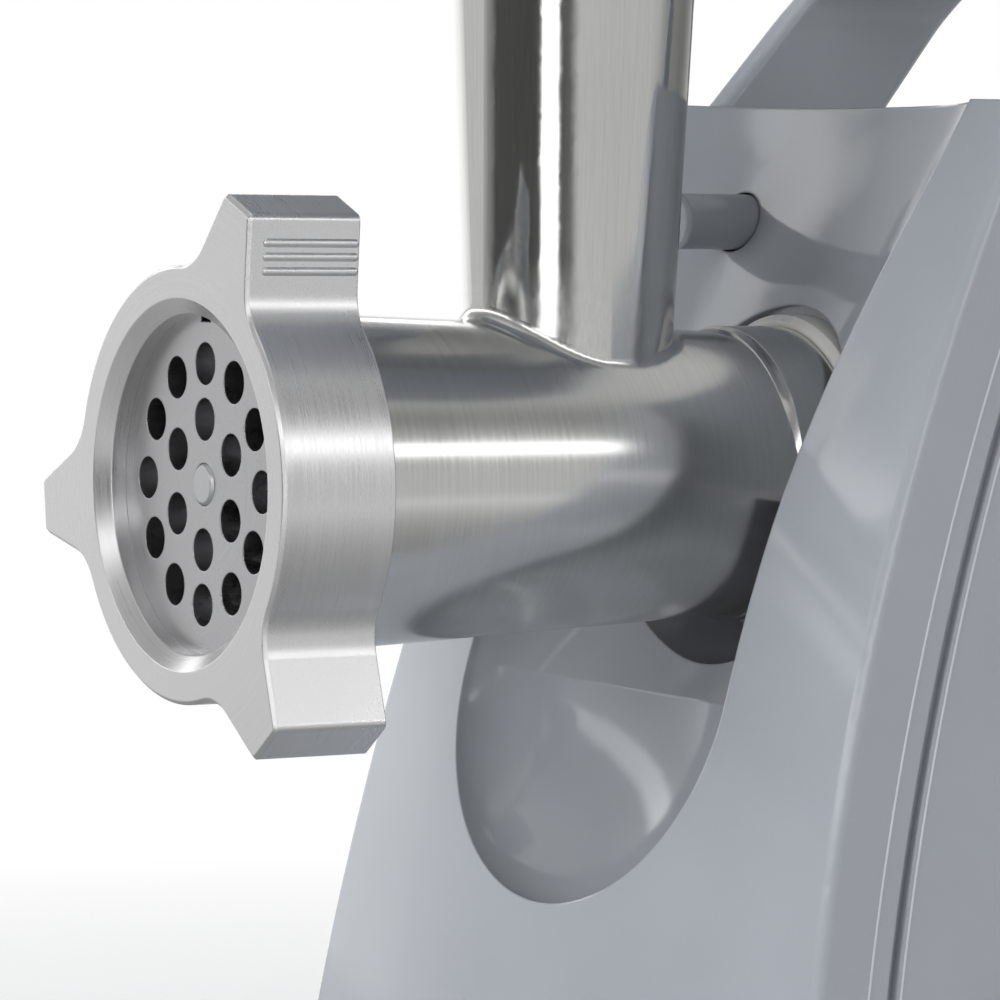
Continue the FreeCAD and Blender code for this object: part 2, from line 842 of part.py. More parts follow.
bevel = rounded(nut, soft_tips, on_mouth, 0.7, "PartDesign::Chamfer")
doc.recompute()
nut_inside = turned("nut_inside", [
    (size(-1), size(0)),
    (size(-1), G.nut_band_radius + (G.nut_band_radius - G.nut_mouth_radius) / G.nut_band_depth),
    (G.nut_band_depth, G.nut_mouth_radius),
    (G.nut_lip, G.nut_mouth_radius),
    (G.nut_lip, G.nut_bore_radius),
    (G.nut_length + 2, G.nut_bore_radius),
    (G.nut_length + 2, size(0)),
])
finish(cut("ring_nut", nut, [nut_inside]))

# Perforated plate with its key notch.
perforated = new_body("plate_blank", 0, G.nut_lip, 0)
thick = G.plate_back - G.nut_lip
disc_sketch = ring_line(new_sketch(perforated, "plate_circle", "XZ_Plane"), G.plate_radius)
ring_line(disc_sketch, G.screw_pin_radius + 0.06)
disc = pad(perforated, disc_sketch, thick, back=True)
perforated.Tip = disc
for name, ring, count in (
    ("inner", G.plate_inner_ring, G.plate_inner_count),
    ("outer", G.plate_outer_ring, G.plate_outer_count),
):
    hole_sketch = new_sketch(perforated, f"plate_{name}_hole", "XZ_Plane")
    ring_line(hole_sketch, G.plate_hole_radius, 0, ring)
    hole = perforated.newObject("PartDesign::Pocket", f"plate_{name}_cut")
    hole.Profile = hole_sketch
    hole.Type = "ThroughAll"
    hole.Midplane = True
    holes = perforated.newObject("PartDesign::PolarPattern", f"plate_{name}_holes")
    holes.Originals = [hole]
    holes.Axis = (hole_sketch, ["N_Axis"])
    holes.Angle = 360
    bind(holes, "Occurrences", count)
    perforated.Tip = holes
    doc.recompute()
finish(cut("perforated_plate", perforated, [
    block("plate_notch", (-2.0, 2.0), (0, 20), (G.plate_radius - 3.6, G.plate_radius + 2)),
]))
finish(rod("plate_key", 1.5, G.flange_front + 0.2, G.plate_back + 5, 0, G.plate_radius - 1.8), "plate_key")

# Barrel: a tapering cast tube with threaded flange, filler neck, collar and bayonet spigot.
barrel_round = turned("barrel_round", [
    (G.flange_front, size(0)),
    (G.flange_front, G.flange_radius),
    (G.flange_back, G.flange_radius),
    (G.flange_back + 1.4, G.barrel_front_radius),
    (G.barrel_end, G.barrel_rear_radius, size(2.6), -1),
    (G.collar_start, G.collar_radius),
    (G.collar_end, G.collar_radius),
    (G.collar_end, G.spigot_radius),
    (G.spigot_end, G.spigot_radius),
    (G.spigot_end, size(0)),
])
neck_form = frustum("neck_form", (0, G.neck_foot_width, G.neck_foot_depth),
                    (G.neck_top, G.neck_top_width, G.neck_top_depth), G.neck_corner, G.neck_middle)
casting = fuse("barrel_casting", [barrel_round, neck_form])
doc.recompute()


def round_neck_foot(edge):
    """Edges where the neck stands on the barrel."""
    middle = edge.valueAt((edge.FirstParameter + edge.LastParameter) / 2)
    level = middle.z - SIZES["axis_height"]
    back = middle.y + SIZES["middle_back"] - SIZES["neck_middle"]
    return 18 < level < 36 and abs(back) < 26 and abs(middle.x) < 24


neck_foot = doc.addObject("Part::Fillet", "barrel_blend")
neck_foot.Base = casting
neck_foot.Edges = [
    (i, SIZES["neck_blend"], SIZES["neck_blend"])
    for i, e in enumerate(casting.Shape.Edges, start=1)
    if round_neck_foot(e)
]
barrel_bore = turned("barrel_bore", [
    (G.flange_front - 1, size(0)),
    (G.flange_front - 1, G.seat_radius),
    (G.plate_back, G.seat_radius),
    (G.plate_back, G.bore_front_radius),
    (G.bore_end, G.bore_rear_radius),
    (G.bore_end, size(11.5)),
    (G.back_wall_end, size(11.5)),
    (G.back_wall_end, G.spigot_bore),
    (G.spigot_end + 1, G.spigot_bore),
    (G.spigot_end + 1, size(0)),
])
bore_foot = (0, G.neck_foot_width - G.neck_wall, G.neck_foot_depth - G.neck_wall)
bore_head = (
    G.neck_top + 5.5,
    G.neck_top_width + 0.18 - G.neck_wall,
    G.neck_top_depth + 0.18 - G.neck_wall,
)
neck_bore = frustum("neck_bore", bore_foot, bore_head, G.neck_corner - G.neck_wall, G.neck_middle)
key_hole = rod("barrel_key_hole", 1.5, G.plate_back - 1, G.plate_back + 5, 0, G.plate_radius - 1.8)
hollow_casting = cut("barrel_hollow", neck_foot, [barrel_bore, neck_bore, key_hole])


def spread(label, maker, count=3):
    """Copies of a piece set evenly about the barrel's axis."""
    copies = []
    for i in range(count):
        piece = maker(f"{label}{i}")
        turn = Rotation(Vector(0, 1, 0), 360 / count * i)
        centre = Vector(0, 0, SIZES["axis_height"])
        shifted = Placement(Vector(), turn, centre).multiply(piece.Placement)
        for letter in "xyz":
            piece.setExpression(f"Placement.Base.{letter}", None)
        piece.Placement = shifted
        copies.append(piece)
    return copies


bayonets = common("bayonet_lugs", [
    fuse("bayonet_blocks", spread("bayonet", lambda name: block(
        name, (-8, 8), (G.bayonet_front, G.bayonet_back), (G.spigot_radius - 2, G.bayonet_reach + 1)))),
    rod("bayonet_limit", G.bayonet_reach, G.bayonet_front - 1, G.bayonet_back + 1),
])
finish(fuse("grinder_barrel", [hollow_casting, bayonets]))
finish(tube("barrel_bush", 11.5, G.journal_radius + 0.06, G.bore_end + 0.1, G.back_wall_end))

# Socket ring that takes the collar's spigot.
socket_round = turned("socket_round", [
    (G.socket_front, G.socket_bore),
    (G.socket_front, G.socket_radius - 1.2),
    (G.socket_front + 1.2, G.socket_radius),
    (G.pocket_end, G.socket_radius),
    (G.pocket_end, G.socket_tail_radius),
    (G.socket_tail_end, G.socket_tail_radius),
    (G.socket_tail_end, G.socket_bore),
])
tabs = spread("socket_tab", lambda name: block(
    name, (-9, 9), (G.socket_front, G.socket_front + 2.6), (G.spigot_radius + 0.4, G.socket_bore + 2)))
finish(cut("socket_ring", fuse("socket_blank", [socket_round] + tabs), [
    rod("socket_lock_hole", G.lock_radius + 0.5, G.socket_front - 1, G.pocket_end + 1,
        G.lock_side, G.lock_level),
]))

# Feed screw: a tapering core with a helical flight, a square for the blade and a pin for the plate.
screw = turned("screw_core", [
    (G.nut_lip - 0.5, size(0)),
    (G.nut_lip - 0.5, G.screw_pin_radius - 0.6),
    (G.nut_lip + 0.1, G.screw_pin_radius),
    (G.screw_front, G.screw_pin_radius),
    (G.screw_front, G.screw_core_front),
    (G.screw_end, G.screw_core_rear),
    (G.screw_end, G.journal_radius),
    (G.journal_end, G.journal_radius),
    (G.journal_end, size(0)),
])
flight_sketch = outline(new_sketch(screw, "flight_line", "YZ_Plane"), [
    (G.screw_front + 0.4, size(5)),
    (G.screw_front + 0.4 + G.flight_width, size(5)),
    (G.screw_front - 0.4 + G.flight_width, G.bore_front_radius + 1),
    (G.screw_front + 1.2, G.bore_front_radius + 1),
])
flight = screw.newObject("PartDesign::AdditiveHelix", "screw_flight")
flight.Profile = flight_sketch
flight.ReferenceAxis = (flight_sketch, ["H_Axis"])
flight.Mode = 0
bind(flight, "Pitch", G.screw_pitch)
bind(flight, "Height", G.screw_end - G.screw_front - G.flight_width - 1.0)
doc.recompute()
trim_sketch = outline(new_sketch(screw, "flight_trim", "YZ_Plane"), [
    (G.screw_front - 3, G.bore_front_radius - G.screw_gap),
    (G.screw_end + 2, G.bore_rear_radius - G.screw_gap),
    (G.screw_end + 2, size(34)),
    (G.screw_front - 3, size(34)),
])
trim = screw.newObject("PartDesign::Groove", "flight_trim_cut")
trim.Profile = trim_sketch
trim.ReferenceAxis = (trim_sketch, ["H_Axis"])
trim.Angle = 360
screw.Tip = trim
doc.recompute()
half = G.square_stub / 2
stub = common("screw_square", [
    block("screw_square_block", (-half, half), (G.blade_front + 0.2, G.screw_front + 0.5), (-half, half)),
    rod("screw_square_limit", 7.6, G.blade_front, G.screw_front + 1),
])
drive_square = block("screw_drive_square", (-5, 5), (G.journal_end - 0.5, 138), (-5, 5))
screw_blank = fuse("screw_blank", [screw, stub, drive_square])
finish(cut("feed_screw", screw_blank, [rod("screw_tap", 2.05, 124, 139)]))
finish(tube("thrust_washer", 15, G.journal_radius + 0.1, G.screw_end, G.bore_end - 0.3))

# Cross blade: four arms with swept cutting edges.
blade = new_body("blade_blank", 0, G.blade_front, 0)
arm_points = []
reach = SIZES["blade_reach"]
for i in range(4):
    turn = math.radians(90 * i)
    for u, v in ((-7.0, 9.0), (-5.2, reach - 0.6), (3.0, reach - 1.6), (4.6, 12.0)):
        arm_points.append((u * math.cos(turn) - v * math.sin(turn), u * math.sin(turn) + v * math.cos(turn)))
pad(blade, outline(new_sketch(blade, "blade_line", "XZ_Plane"), arm_points[::-1]),
    G.blade_back - G.blade_front - 2.0, back=True)
doc.recompute()
hub = rod("blade_hub", 12.5, G.blade_front + 1.2, G.blade_back)
finish(cut("cross_blade", fuse("blade_joined", [blade, hub]), [
    common("blade_square", [
        block("blade_square_block", (-half - 0.1, half + 0.1), (0, 30), (-half - 0.1, half + 0.1)),
        rod("blade_square_limit", 7.7, 0, 30),
    ]),
]))

# Drive coupling on the screw's tail, and the hub that it plugs into.
def hexagon(label, flats, start, end):
    """A six-sided bar along the barrel's direction."""
    bar = doc.addObject("Part::Prism", label)
    bar.Polygon = 6
    bind(bar, "Circumradius", size(flats) / (2 * math.cos(math.pi / 6)))
    bind(bar, "Height", size(end) - size(start))
    return place(bar, 0, start, 0, Y_AXIS)


finish(cut("drive_coupling", fuse("coupling_blank", [
    rod("coupling_flange", G.coupling_radius, G.journal_end + 0.2, G.journal_end + 5),
    hexagon("coupling_hexagon", G.hex_flats, G.journal_end + 4, G.coupling_back),
]), [
    block("coupling_square", (-5.1, 5.1), (G.journal_end - 1, 138.2), (-5.1, 5.1)),
    rod("coupling_tap", 2.3, 130, 150),
    rod("coupling_counterbore", 4.4, 140, 150),
]))
BACK_TO_FRONT = Rotation(Vector(1, 0, 0), 90)
FRONT_TO_BACK = Y_AXIS
finish(bolt("coupling_screw", 4.0, 2.0, 3.0, 13.0, 0, 140, 0, BACK_TO_FRONT))
finish(cut("output_shaft", turned("output_round", [
    (G.hub_front, size(0)),
    (G.hub_front, G.hub_radius),
    (G.hub_back, G.hub_radius),
    (G.hub_back, G.output_radius),
    (G.rear_plate_face + 6, G.output_radius),
    (G.rear_plate_face + 6, size(0)),
]), [hexagon("output_socket", G.hex_flats + 0.3, G.hub_front - 1, G.coupling_back + 1)]))

# Gear train: three pairs of spur gears step the motor down to the feed screw.
PRESSURE = math.radians(25)
BACKLASH = 0.12


def involute(angle):
    """The involute function."""
    return math.tan(angle) - angle


def tooth(teeth, module):
    """One tooth's outline about the upward line, from below the root circle to the tip."""
    pitch = teeth * module / 2
    base = pitch * math.cos(PRESSURE)
    foot, tip = pitch - 1.2 * module, pitch + 0.93 * module
    half_angle = math.pi / (2 * teeth) - BACKLASH / (2 * pitch) + involute(PRESSURE)
    start = max(base, foot + 0.02)
    flank = [(foot - 0.4 * module, half_angle - involute(math.acos(min(1.0, base / start))))]
    for radius in (start, (start + 2 * pitch) / 3, (pitch + tip) / 2, tip):
        flank.append((radius, half_angle - involute(math.acos(min(1.0, base / radius)))))
    right = [(r * math.sin(a), r * math.cos(a)) for r, a in flank]
    return right + [(-u, v) for u, v in reversed(right)], foot


def gear(label, teeth, module, start, end, bore, x, z, towards):
    """A spur gear with a tooth pointing at an angle from upright."""
    body = new_body(f"{label}_teeth", x, start, z)
    body.Placement = Placement(body.Placement.Base, Rotation(Vector(0, 1, 0), towards))
    points, foot = tooth(teeth.value, module.value)
    face = size(end) - size(start)
    pad(body, ring_line(new_sketch(body, f"{label}_disc", "XZ_Plane"), foot), face, back=True)
    line = outline(new_sketch(body, f"{label}_tooth", "XZ_Plane"), points)
    one = pad(body, line, face, back=True)
    crown = body.newObject("PartDesign::PolarPattern", f"{label}_crown")
    crown.Originals = [one]
    crown.Axis = (line, ["N_Axis"])
    crown.Angle = 360
    bind(crown, "Occurrences", teeth)
    body.Tip = crown
    return finish(cut(label, body, [rod(f"{label}_bore", bore, size(start) - 1, size(end) + 1, x, z)]))


def below(x, z, side, reach):
    """The spot at a sideways place that lies a given reach below another."""
    across = side - x
    return side, z - root(reach * reach - across * across)


def heading(a, b):
    """The direction from one shaft to the next, in degrees from upright."""
    return math.degrees(math.atan2(size(b[0]).value - size(a[0]).value, size(b[1]).value - size(a[1]).value))


half_pitch = size(0.5)
reach_three = half_pitch * G.module_three * (G.second_pinion_teeth + G.output_teeth)
reach_two = half_pitch * G.module_two * (G.first_pinion_teeth + G.second_wheel_teeth)
reach_one = half_pitch * G.module_one * (G.motor_pinion_teeth + G.first_wheel_teeth)
centre = (size(0), size(0))
second = below(*centre, G.second_shaft_side, reach_three)
first = below(*second, G.first_shaft_side, reach_two)
motor = below(*first, G.motor_side, reach_one)


def pair(small, wheel, small_at, wheel_at):
    """Two gears in mesh: a tooth of the small one stands in a gap of the wheel."""
    angle = heading(small_at, wheel_at)
    gear(*small, *small_at, angle)
    gear(*wheel, *wheel_at, angle + 180 + 180 / wheel[1].value)


front_face = G.plate_front_face + G.gear_plate_thickness
pair(
    ("second_pinion", G.second_pinion_teeth, G.module_three, front_face + 1.5, front_face + 12.5,
     G.lay_radius),
    ("output_gear", G.output_teeth, G.module_three, front_face + 2, front_face + 12, G.output_radius),
    second, centre,
)
pair(
    ("first_pinion", G.first_pinion_teeth, G.module_two, front_face + 13.5, front_face + 21.5, G.lay_radius),
    ("second_wheel", G.second_wheel_teeth, G.module_two, front_face + 14, front_face + 21, G.lay_radius),
    first, second,
)
pair(
    ("motor_pinion", G.motor_pinion_teeth, G.module_one, front_face + 22.4, front_face + 29, 2.2),
    ("first_wheel", G.first_wheel_teeth, G.module_one, front_face + 23, front_face + 28, G.lay_radius),
    motor, first,
)
finish(rod("second_shaft", G.lay_radius, G.plate_front_face - 1, G.rear_plate_face + 4.4, *second))
finish(rod("first_shaft", G.lay_radius, G.plate_front_face - 1, G.rear_plate_face + 4.4, *first))

# Gear plates, their bushes, pillars and screws.
rear_back = G.rear_plate_face + G.gear_plate_thickness
pillar_spots = mirrored_spots(40, (36,), (-102,))
boss_spots = mirrored_spots(24.7, (24.7,), (-24.7,))


def plate_holes(label, radii):
    """Round holes through a gear plate, as (radius, x, z)."""
    return [rod(f"{label}_hole{i}", r, 150, 200, x, z) for i, (r, x, z) in enumerate(radii)]


front_blank = fuse("front_plate_blank", [
    block("front_plate_main", (-46, 46), (G.plate_front_face, front_face), (-110, 43)),
    block("front_plate_ear", (G.button_side - 9, G.button_side + 9), (G.plate_front_face, front_face),
          (40, 58)),
])
finish(cut("gear_plate_front", front_blank, plate_holes("front_plate", [
    (16, 0, 0), (5.5, *second), (5.5, *first), (2.5, G.button_side, G.button_level)
] + [(2.1, x, z) for x, z in boss_spots])))
finish(cut("gear_plate_rear", block("rear_plate_main", (-46, 46), (G.rear_plate_face, rear_back), (-120, 43)),
           plate_holes("rear_plate", [(12, 0, 0), (5.5, *second), (5.5, *first), (9.5, *motor)]
                       + [(2.0, motor[0] + x, motor[1] + z) for x, z in ((20.5, 20.5), (-20.5, -20.5))])))
finish(group("gear_pillars", [
    rod(f"gear_pillar{i}", 4, front_face, G.rear_plate_face, x, z) for i, (x, z) in enumerate(pillar_spots)
]))
finish(group("gear_screws", [
    bolt(f"gear_screw{i}", 3.4, 1.5, 1.8, 11.0, x, front_face, z, BACK_TO_FRONT)
    for i, (x, z) in enumerate(boss_spots)
]))
finish(tube("output_bearing", 16, G.output_radius + 0.05, G.hub_back + 0.3, front_face + 1))
bushes = []
for i, (x, z, shaft, outer) in enumerate((
    (*second, G.lay_radius, 5.5), (*first, G.lay_radius, 5.5)
)):
    bushes.append(tube(f"front_bush{i}", outer, shaft + 0.05, G.plate_front_face, front_face + 1, x, z))
    bushes.append(tube(f"rear_bush{i}", outer, shaft + 0.05, G.rear_plate_face - 0.8, rear_back, x, z))
bushes.append(tube("rear_output_bush", 12, G.output_radius + 0.05, G.rear_plate_face - 0.8, rear_back))
motor_bore = G.motor_shaft_radius + 0.05
bushes.append(tube("front_motor_bush", 9.5, motor_bore, G.rear_plate_face, rear_back, *motor))
finish(group("shaft_bushes", bushes))

# Motor.
finish(turned("motor_shaft", [
    (front_face + 22, size(0)),
    (front_face + 22, size(2.2)),
    (front_face + 29.6, size(2.2)),
    (front_face + 29.6, G.motor_shaft_radius),
    (G.motor_end, G.motor_shaft_radius),
    (G.motor_end, size(0)),
], *motor), "motor_shaft")
winding = G.motor_shaft_radius
finish(cut("armature", fuse("armature_blank", [
    rod("armature_core", G.armature_radius, G.stator_front + 1, G.stator_back - 1, *motor),
    rod("armature_windings", 17, G.stator_front - 3.5, G.stator_back + 2.5, *motor),
]), [rod("armature_bore", winding, 190, 260, *motor)] + [
    rod(f"armature_slot{i}", 1.5, G.stator_front, G.stator_back,
        motor[0] + (SIZES["armature_radius"] - 0.6) * math.sin(math.radians(30 * i)),
        motor[1] + (SIZES["armature_radius"] - 0.6) * math.cos(math.radians(30 * i)))
    for i in range(12)
]))
finish(tube("commutator", G.commutator_radius, winding, G.stator_back + 3, 250, *motor))
fan_parts = [rod("fan_disc", G.fan_radius, rear_back + 1.6, rear_back + 3, *motor),
             rod("fan_hub", 8, rear_back + 1.6, rear_back + 7, *motor)]
for i in range(9):
    vane = doc.addObject("Part::Box", f"fan_vane{i}")
    vane.Length = 1.4
    vane.Width = 4.4
    vane.Height = 15
    angle = math.radians(40 * i)
    place(vane, motor[0] + 10 * math.sin(angle), rear_back + 2.5, motor[1] + 10 * math.cos(angle),
          Rotation(Vector(0, 1, 0), 40 * i))
    fan_parts.append(vane)
finish(cut("cooling_fan", fuse("fan_blank", fan_parts), [rod("fan_bore", winding, 190, 210, *motor)]))
bolt_spots = [(motor[0] + x, motor[1] + z) for x, z in ((20.5, 20.5), (-20.5, -20.5))]
stator_span = (G.stator_front, G.stator_back)
stator_tube = tube("stator_tube", G.stator_radius, G.stator_bore, *stator_span, *motor)
finish(cut("motor_stator", stator_tube, [
    rod(f"stator_bolt_hole{i}", 2.1, 200, 250, x, z) for i, (x, z) in enumerate(bolt_spots)
]))
coils = []
coil_spans = ((G.stator_front - 5.4, G.stator_front), (G.stator_back, G.stator_back + 6.5))
coil_across, coil_up = (motor[0] - 16, motor[0] + 16), (motor[1] - 40, motor[1] + 40)
for i, (start, end) in enumerate(coil_spans):
    ring = tube(f"coil_ring{i}", 33, 23, start, end, *motor)
    coils.append(common(f"coil{i}", [ring, block(f"coil_limit{i}", coil_across, (190, 260), coil_up)]))
finish(group("field_coils", coils))
finish(cut("motor_bracket", rod("bracket_disc", 30, 251, 255, *motor), [
    rod("bracket_bore", G.motor_shaft_radius + 0.05, 240, 270, *motor)
] + [rod(f"bracket_bolt_hole{i}", 2.1, 240, 270, x, z) for i, (x, z) in enumerate(bolt_spots)]))
finish(group("motor_bolts", [
    bolt(f"motor_bolt{i}", 3.6, 2.0, 2.2, 63.0, x, 255, z, BACK_TO_FRONT)
    for i, (x, z) in enumerate(bolt_spots)
]))
brushes, holders = [], []
for i, sign in enumerate((-1, 1)):
    near, far = G.commutator_radius + 0.35, size(24)
    brush_x = (near, far) if sign > 0 else (-far, -near)
    holder_x = (size(13), size(27)) if sign > 0 else (size(-27), size(-13))
    level = (motor[1] - 2.5, motor[1] + 2.5)
    brushes.append(block(f"brush{i}", brush_x, (244.5, 248.5), level))
    holder_box = block(f"holder_box{i}", holder_x, (243, 251), (motor[1] - 4.2, motor[1] + 4.2))
    holders.append(cut(f"holder{i}", holder_box, [
        block(f"holder_slot{i}", (-24.2, 24.2), (244.4, 248.6), (motor[1] - 2.6, motor[1] + 2.6))
    ]))
finish(group("carbon_brushes", brushes))
finish(group("brush_holders", holders))
finish(cut("motor_cradle", block("cradle_block", (-24, 24), (212, 232), (G.base_level, motor[1] - 28)), [
    rod("cradle_saddle", G.stator_radius + 0.02, 200, 250, *motor),
    block("cradle_window", (-15, 15), (205, 240), (G.base_level + 4, G.base_level + 26)),
]))

# Release button, the lock arm behind it, their spring and its pin.
spot = (G.button_side, G.button_level)
finish(cut("release_button", turned("button_round", [
    (G.button_front, size(0)),
    (G.button_front, G.button_radius - 0.8),
    (G.button_front + 0.8, G.button_radius),
    (G.button_back, G.button_radius),
    (G.button_back, size(0)),
], *spot), [rod("button_bore", G.button_bore, G.button_front + 4, G.button_back + 1, *spot)]))
arm_back = G.button_back + 2
arm_side = SIZES["lock_side"] - SIZES["button_side"]
arm_rise = SIZES["lock_level"] - SIZES["button_level"]
arm_turn = math.degrees(math.atan2(arm_side, arm_rise))
link = doc.addObject("Part::Box", "lock_link")
link.Length = 5
link.Width = 2
link.Height = math.hypot(arm_side, arm_rise)
link_turn = Rotation(Vector(0, 1, 0), arm_turn)
link_shift = link_turn.multVec(Vector(-2.5, 0, 0))
place(link, G.button_side + link_shift.x, G.button_back, G.button_level + link_shift.z, link_turn)
finish(cut("lock_arm", fuse("lock_blank", [
    link,
    rod("lock_eye", 6.8, G.button_back, arm_back, *spot),
    rod("lock_foot", 2.4, G.button_back, arm_back, G.lock_side, G.lock_level),
    rod("lock_bolt", G.lock_radius, G.socket_front + 0.1, arm_back, G.lock_side, G.lock_level),
]), [rod("lock_eye_bore", G.button_bore, G.button_back - 1, arm_back + 1, *spot)]))
finish(rod("spring_pin", 2.5, G.button_front + 4 + G.button_travel + 0.6, front_face, *spot), "spring_pin")
spring_start, spring_end = G.button_front + 4.1, G.plate_front_face - 0.1
coil_turns = 7
spring_path = doc.addObject("Part::Helix", "spring_path")
bind(spring_path, "Pitch", (spring_end - spring_start - G.spring_wire) / coil_turns)
bind(spring_path, "Height", spring_end - spring_start - G.spring_wire)
bind(spring_path, "Radius", G.spring_radius)
spring_path.SegmentLength = 1
place(spring_path, G.button_side, spring_start + G.spring_wire / 2, G.button_level, Y_AXIS)
spring_section = doc.addObject("Part::Circle", "spring_section")
bind(spring_section, "Radius", G.spring_wire / 2)
wire_start = spring_start + G.spring_wire / 2
place(spring_section, G.button_side + G.spring_radius, wire_start, G.button_level, PLAIN)
spring = doc.addObject("Part::Sweep", "button_spring")
spring.Sections = [spring_section]
spring.Spine = (spring_path, [f"Edge{i + 1}" for i in range(coil_turns)])
spring.Solid = True
spring.Frenet = True
finish(spring)

# Selector knob with its grip bar, and the switch that it turns.
knob_in = G.knob_half_width + 2.4
finish(fuse("selector_knob", [
    axle("knob_disc", G.knob_radius, knob_in, knob_in + 4, *knob_spot),
    block("knob_bar", (knob_in + 3, knob_in + G.knob_depth), (G.knob_back - 3.5, G.knob_back + 3.5),
          (G.knob_level - 15, G.knob_level + 15)),
    axle("knob_shaft", 4, G.knob_half_width - 20, knob_in + 1, *knob_spot),
]))
switch_level = (G.knob_level - 14, G.knob_level + 14)
switch_box = block("switch_box", (50, G.knob_half_width - 6), (192, 220), switch_level)
finish(cut("switch_block", switch_box, [
    axle("switch_bore", 4.06, 56, 90, *knob_spot),
]))
finish(cut("cord_gland", fuse("gland_blank", [
    rod("gland_body", G.gland_radius, 250, 260.6, G.gland_side, G.gland_level),
    cut("gland_flange", rod("gland_collar", 9.4, 255, 261.6, G.gland_side, G.gland_level), [form]),
]), [rod("gland_bore", 3.6, 240, 270, G.gland_side, G.gland_level)]))

# Hopper tray, pusher and its cap.
rim, floor = G.tray_rim, G.tray_floor
wide, deep, flare, wall = G.tray_half_width, G.tray_half_depth, G.tray_flare, G.tray_wall
corner, centre_line = G.tray_corner, G.neck_middle
tray_out = frustum("tray_out", (floor, wide - flare, deep - flare), (rim, wide, deep), corner, centre_line)
lip_half = (wide + 2, deep + 2)
tray_lip = frustum("tray_lip", (rim - 2.4, *lip_half), (rim, *lip_half), corner + 2, centre_line)
tray_in = frustum("tray_in", (floor + wall, wide - flare - wall + 0.8, deep - flare - wall + 0.8),
                  (rim + 1, wide - wall, deep - wall), corner - 2, centre_line)
throat = frustum("tray_throat", (97, 18.6, 19.1), (floor + 1, 19.1, 19.6), 14.6, centre_line)
throat_in = frustum("tray_throat_in", (90, 17.1, 17.6), (floor + 8, 17.7, 18.2), 13.4, centre_line)
finish(cut("hopper_tray", fuse("tray_blank", [tray_out, tray_lip, throat]), [tray_in, throat_in]))
tip, top, seat = G.pusher_half, G.pusher_top, floor + wall
stem = frustum("pusher_foot_form", (G.pusher_foot, tip - 1, tip - 1), (seat + 1, tip, tip), 12.6, centre_line)
stop = frustum("pusher_stop", (seat, 25, 25), (seat + 4, 25.5, 25.5), 15, centre_line)
grip = frustum("pusher_grip", (seat + 2, 15.6, 15.6), (top - 18, 14.6, 14.6), 12, centre_line)
hollow_foot = (G.pusher_foot + 2.4, tip - 3.4, tip - 3.4)
pusher_hollow = frustum("pusher_hollow", hollow_foot, (top - 17, 12.2, 12.2), 9.6, centre_line)
finish(cut("pusher_stem", fuse("pusher_blank", [stem, stop, grip]), [pusher_hollow]))
cap = new_body("cap_form", 0, centre_line, 0)
cap_line = soft_rectangle(new_sketch(cap, "cap_line", "XY_Plane", top - 18), 20.5, 20.5, 12)
cap_block = pad(cap, cap_line, 18)
cap_crown = SIZES["pusher_top"] - 0.1
rounded(cap, cap_block, lambda e: e.BoundBox.ZMin > cap_crown, G.cap_round)
plug = frustum("cap_plug", (top - 28, 11.8, 11.8), (top - 17, 11.8, 11.8), 9.4, centre_line)
finish(fuse("pusher_cap", [cap, plug]))
doc.recompute()

# Every object must be sound before anything is written.
for thing in doc.Objects:
    if "Invalid" in thing.State or "Error" in thing.State:
        raise RuntimeError(f"{thing.Name}: {thing.State}")
for thing in NODES:
    if thing.Shape.isNull() or not thing.Shape.isValid() or not thing.Shape.Solids:
        raise RuntimeError(f"{thing.Label}: its shape isn't a sound solid")
    print(thing.Label, len(thing.Shape.Solids), round(thing.Shape.Volume))
os.makedirs("parts", exist_ok=True)
for thing in NODES:
    thing.Shape.exportStep(f"parts/{thing.Label}.step")
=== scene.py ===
import bpy
import math
from mathutils import Matrix, Vector


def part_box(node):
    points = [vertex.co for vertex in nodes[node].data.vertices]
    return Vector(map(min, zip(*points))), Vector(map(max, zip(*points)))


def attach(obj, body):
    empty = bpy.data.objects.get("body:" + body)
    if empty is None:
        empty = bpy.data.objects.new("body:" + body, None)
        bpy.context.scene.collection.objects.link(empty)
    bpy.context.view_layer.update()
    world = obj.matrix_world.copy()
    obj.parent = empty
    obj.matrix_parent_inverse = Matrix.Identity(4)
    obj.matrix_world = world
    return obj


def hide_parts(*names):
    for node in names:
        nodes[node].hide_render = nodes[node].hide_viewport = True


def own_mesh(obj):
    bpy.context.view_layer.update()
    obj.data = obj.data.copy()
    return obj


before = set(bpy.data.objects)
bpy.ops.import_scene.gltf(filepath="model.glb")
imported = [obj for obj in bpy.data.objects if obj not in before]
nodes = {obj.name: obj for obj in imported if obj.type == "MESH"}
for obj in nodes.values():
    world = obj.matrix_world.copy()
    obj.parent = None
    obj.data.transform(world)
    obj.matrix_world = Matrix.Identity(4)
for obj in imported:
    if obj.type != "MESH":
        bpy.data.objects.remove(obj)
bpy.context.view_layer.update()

# Barrel line: it runs along Y through x = 0 at this height.
BARREL_HEIGHT = 0.165


def deselect():
    """Nothing selected, and object mode."""
    if bpy.context.object and bpy.context.object.mode != "OBJECT":
        bpy.ops.object.mode_set(mode="OBJECT")
    bpy.ops.object.select_all(action="DESELECT")


# Finishes


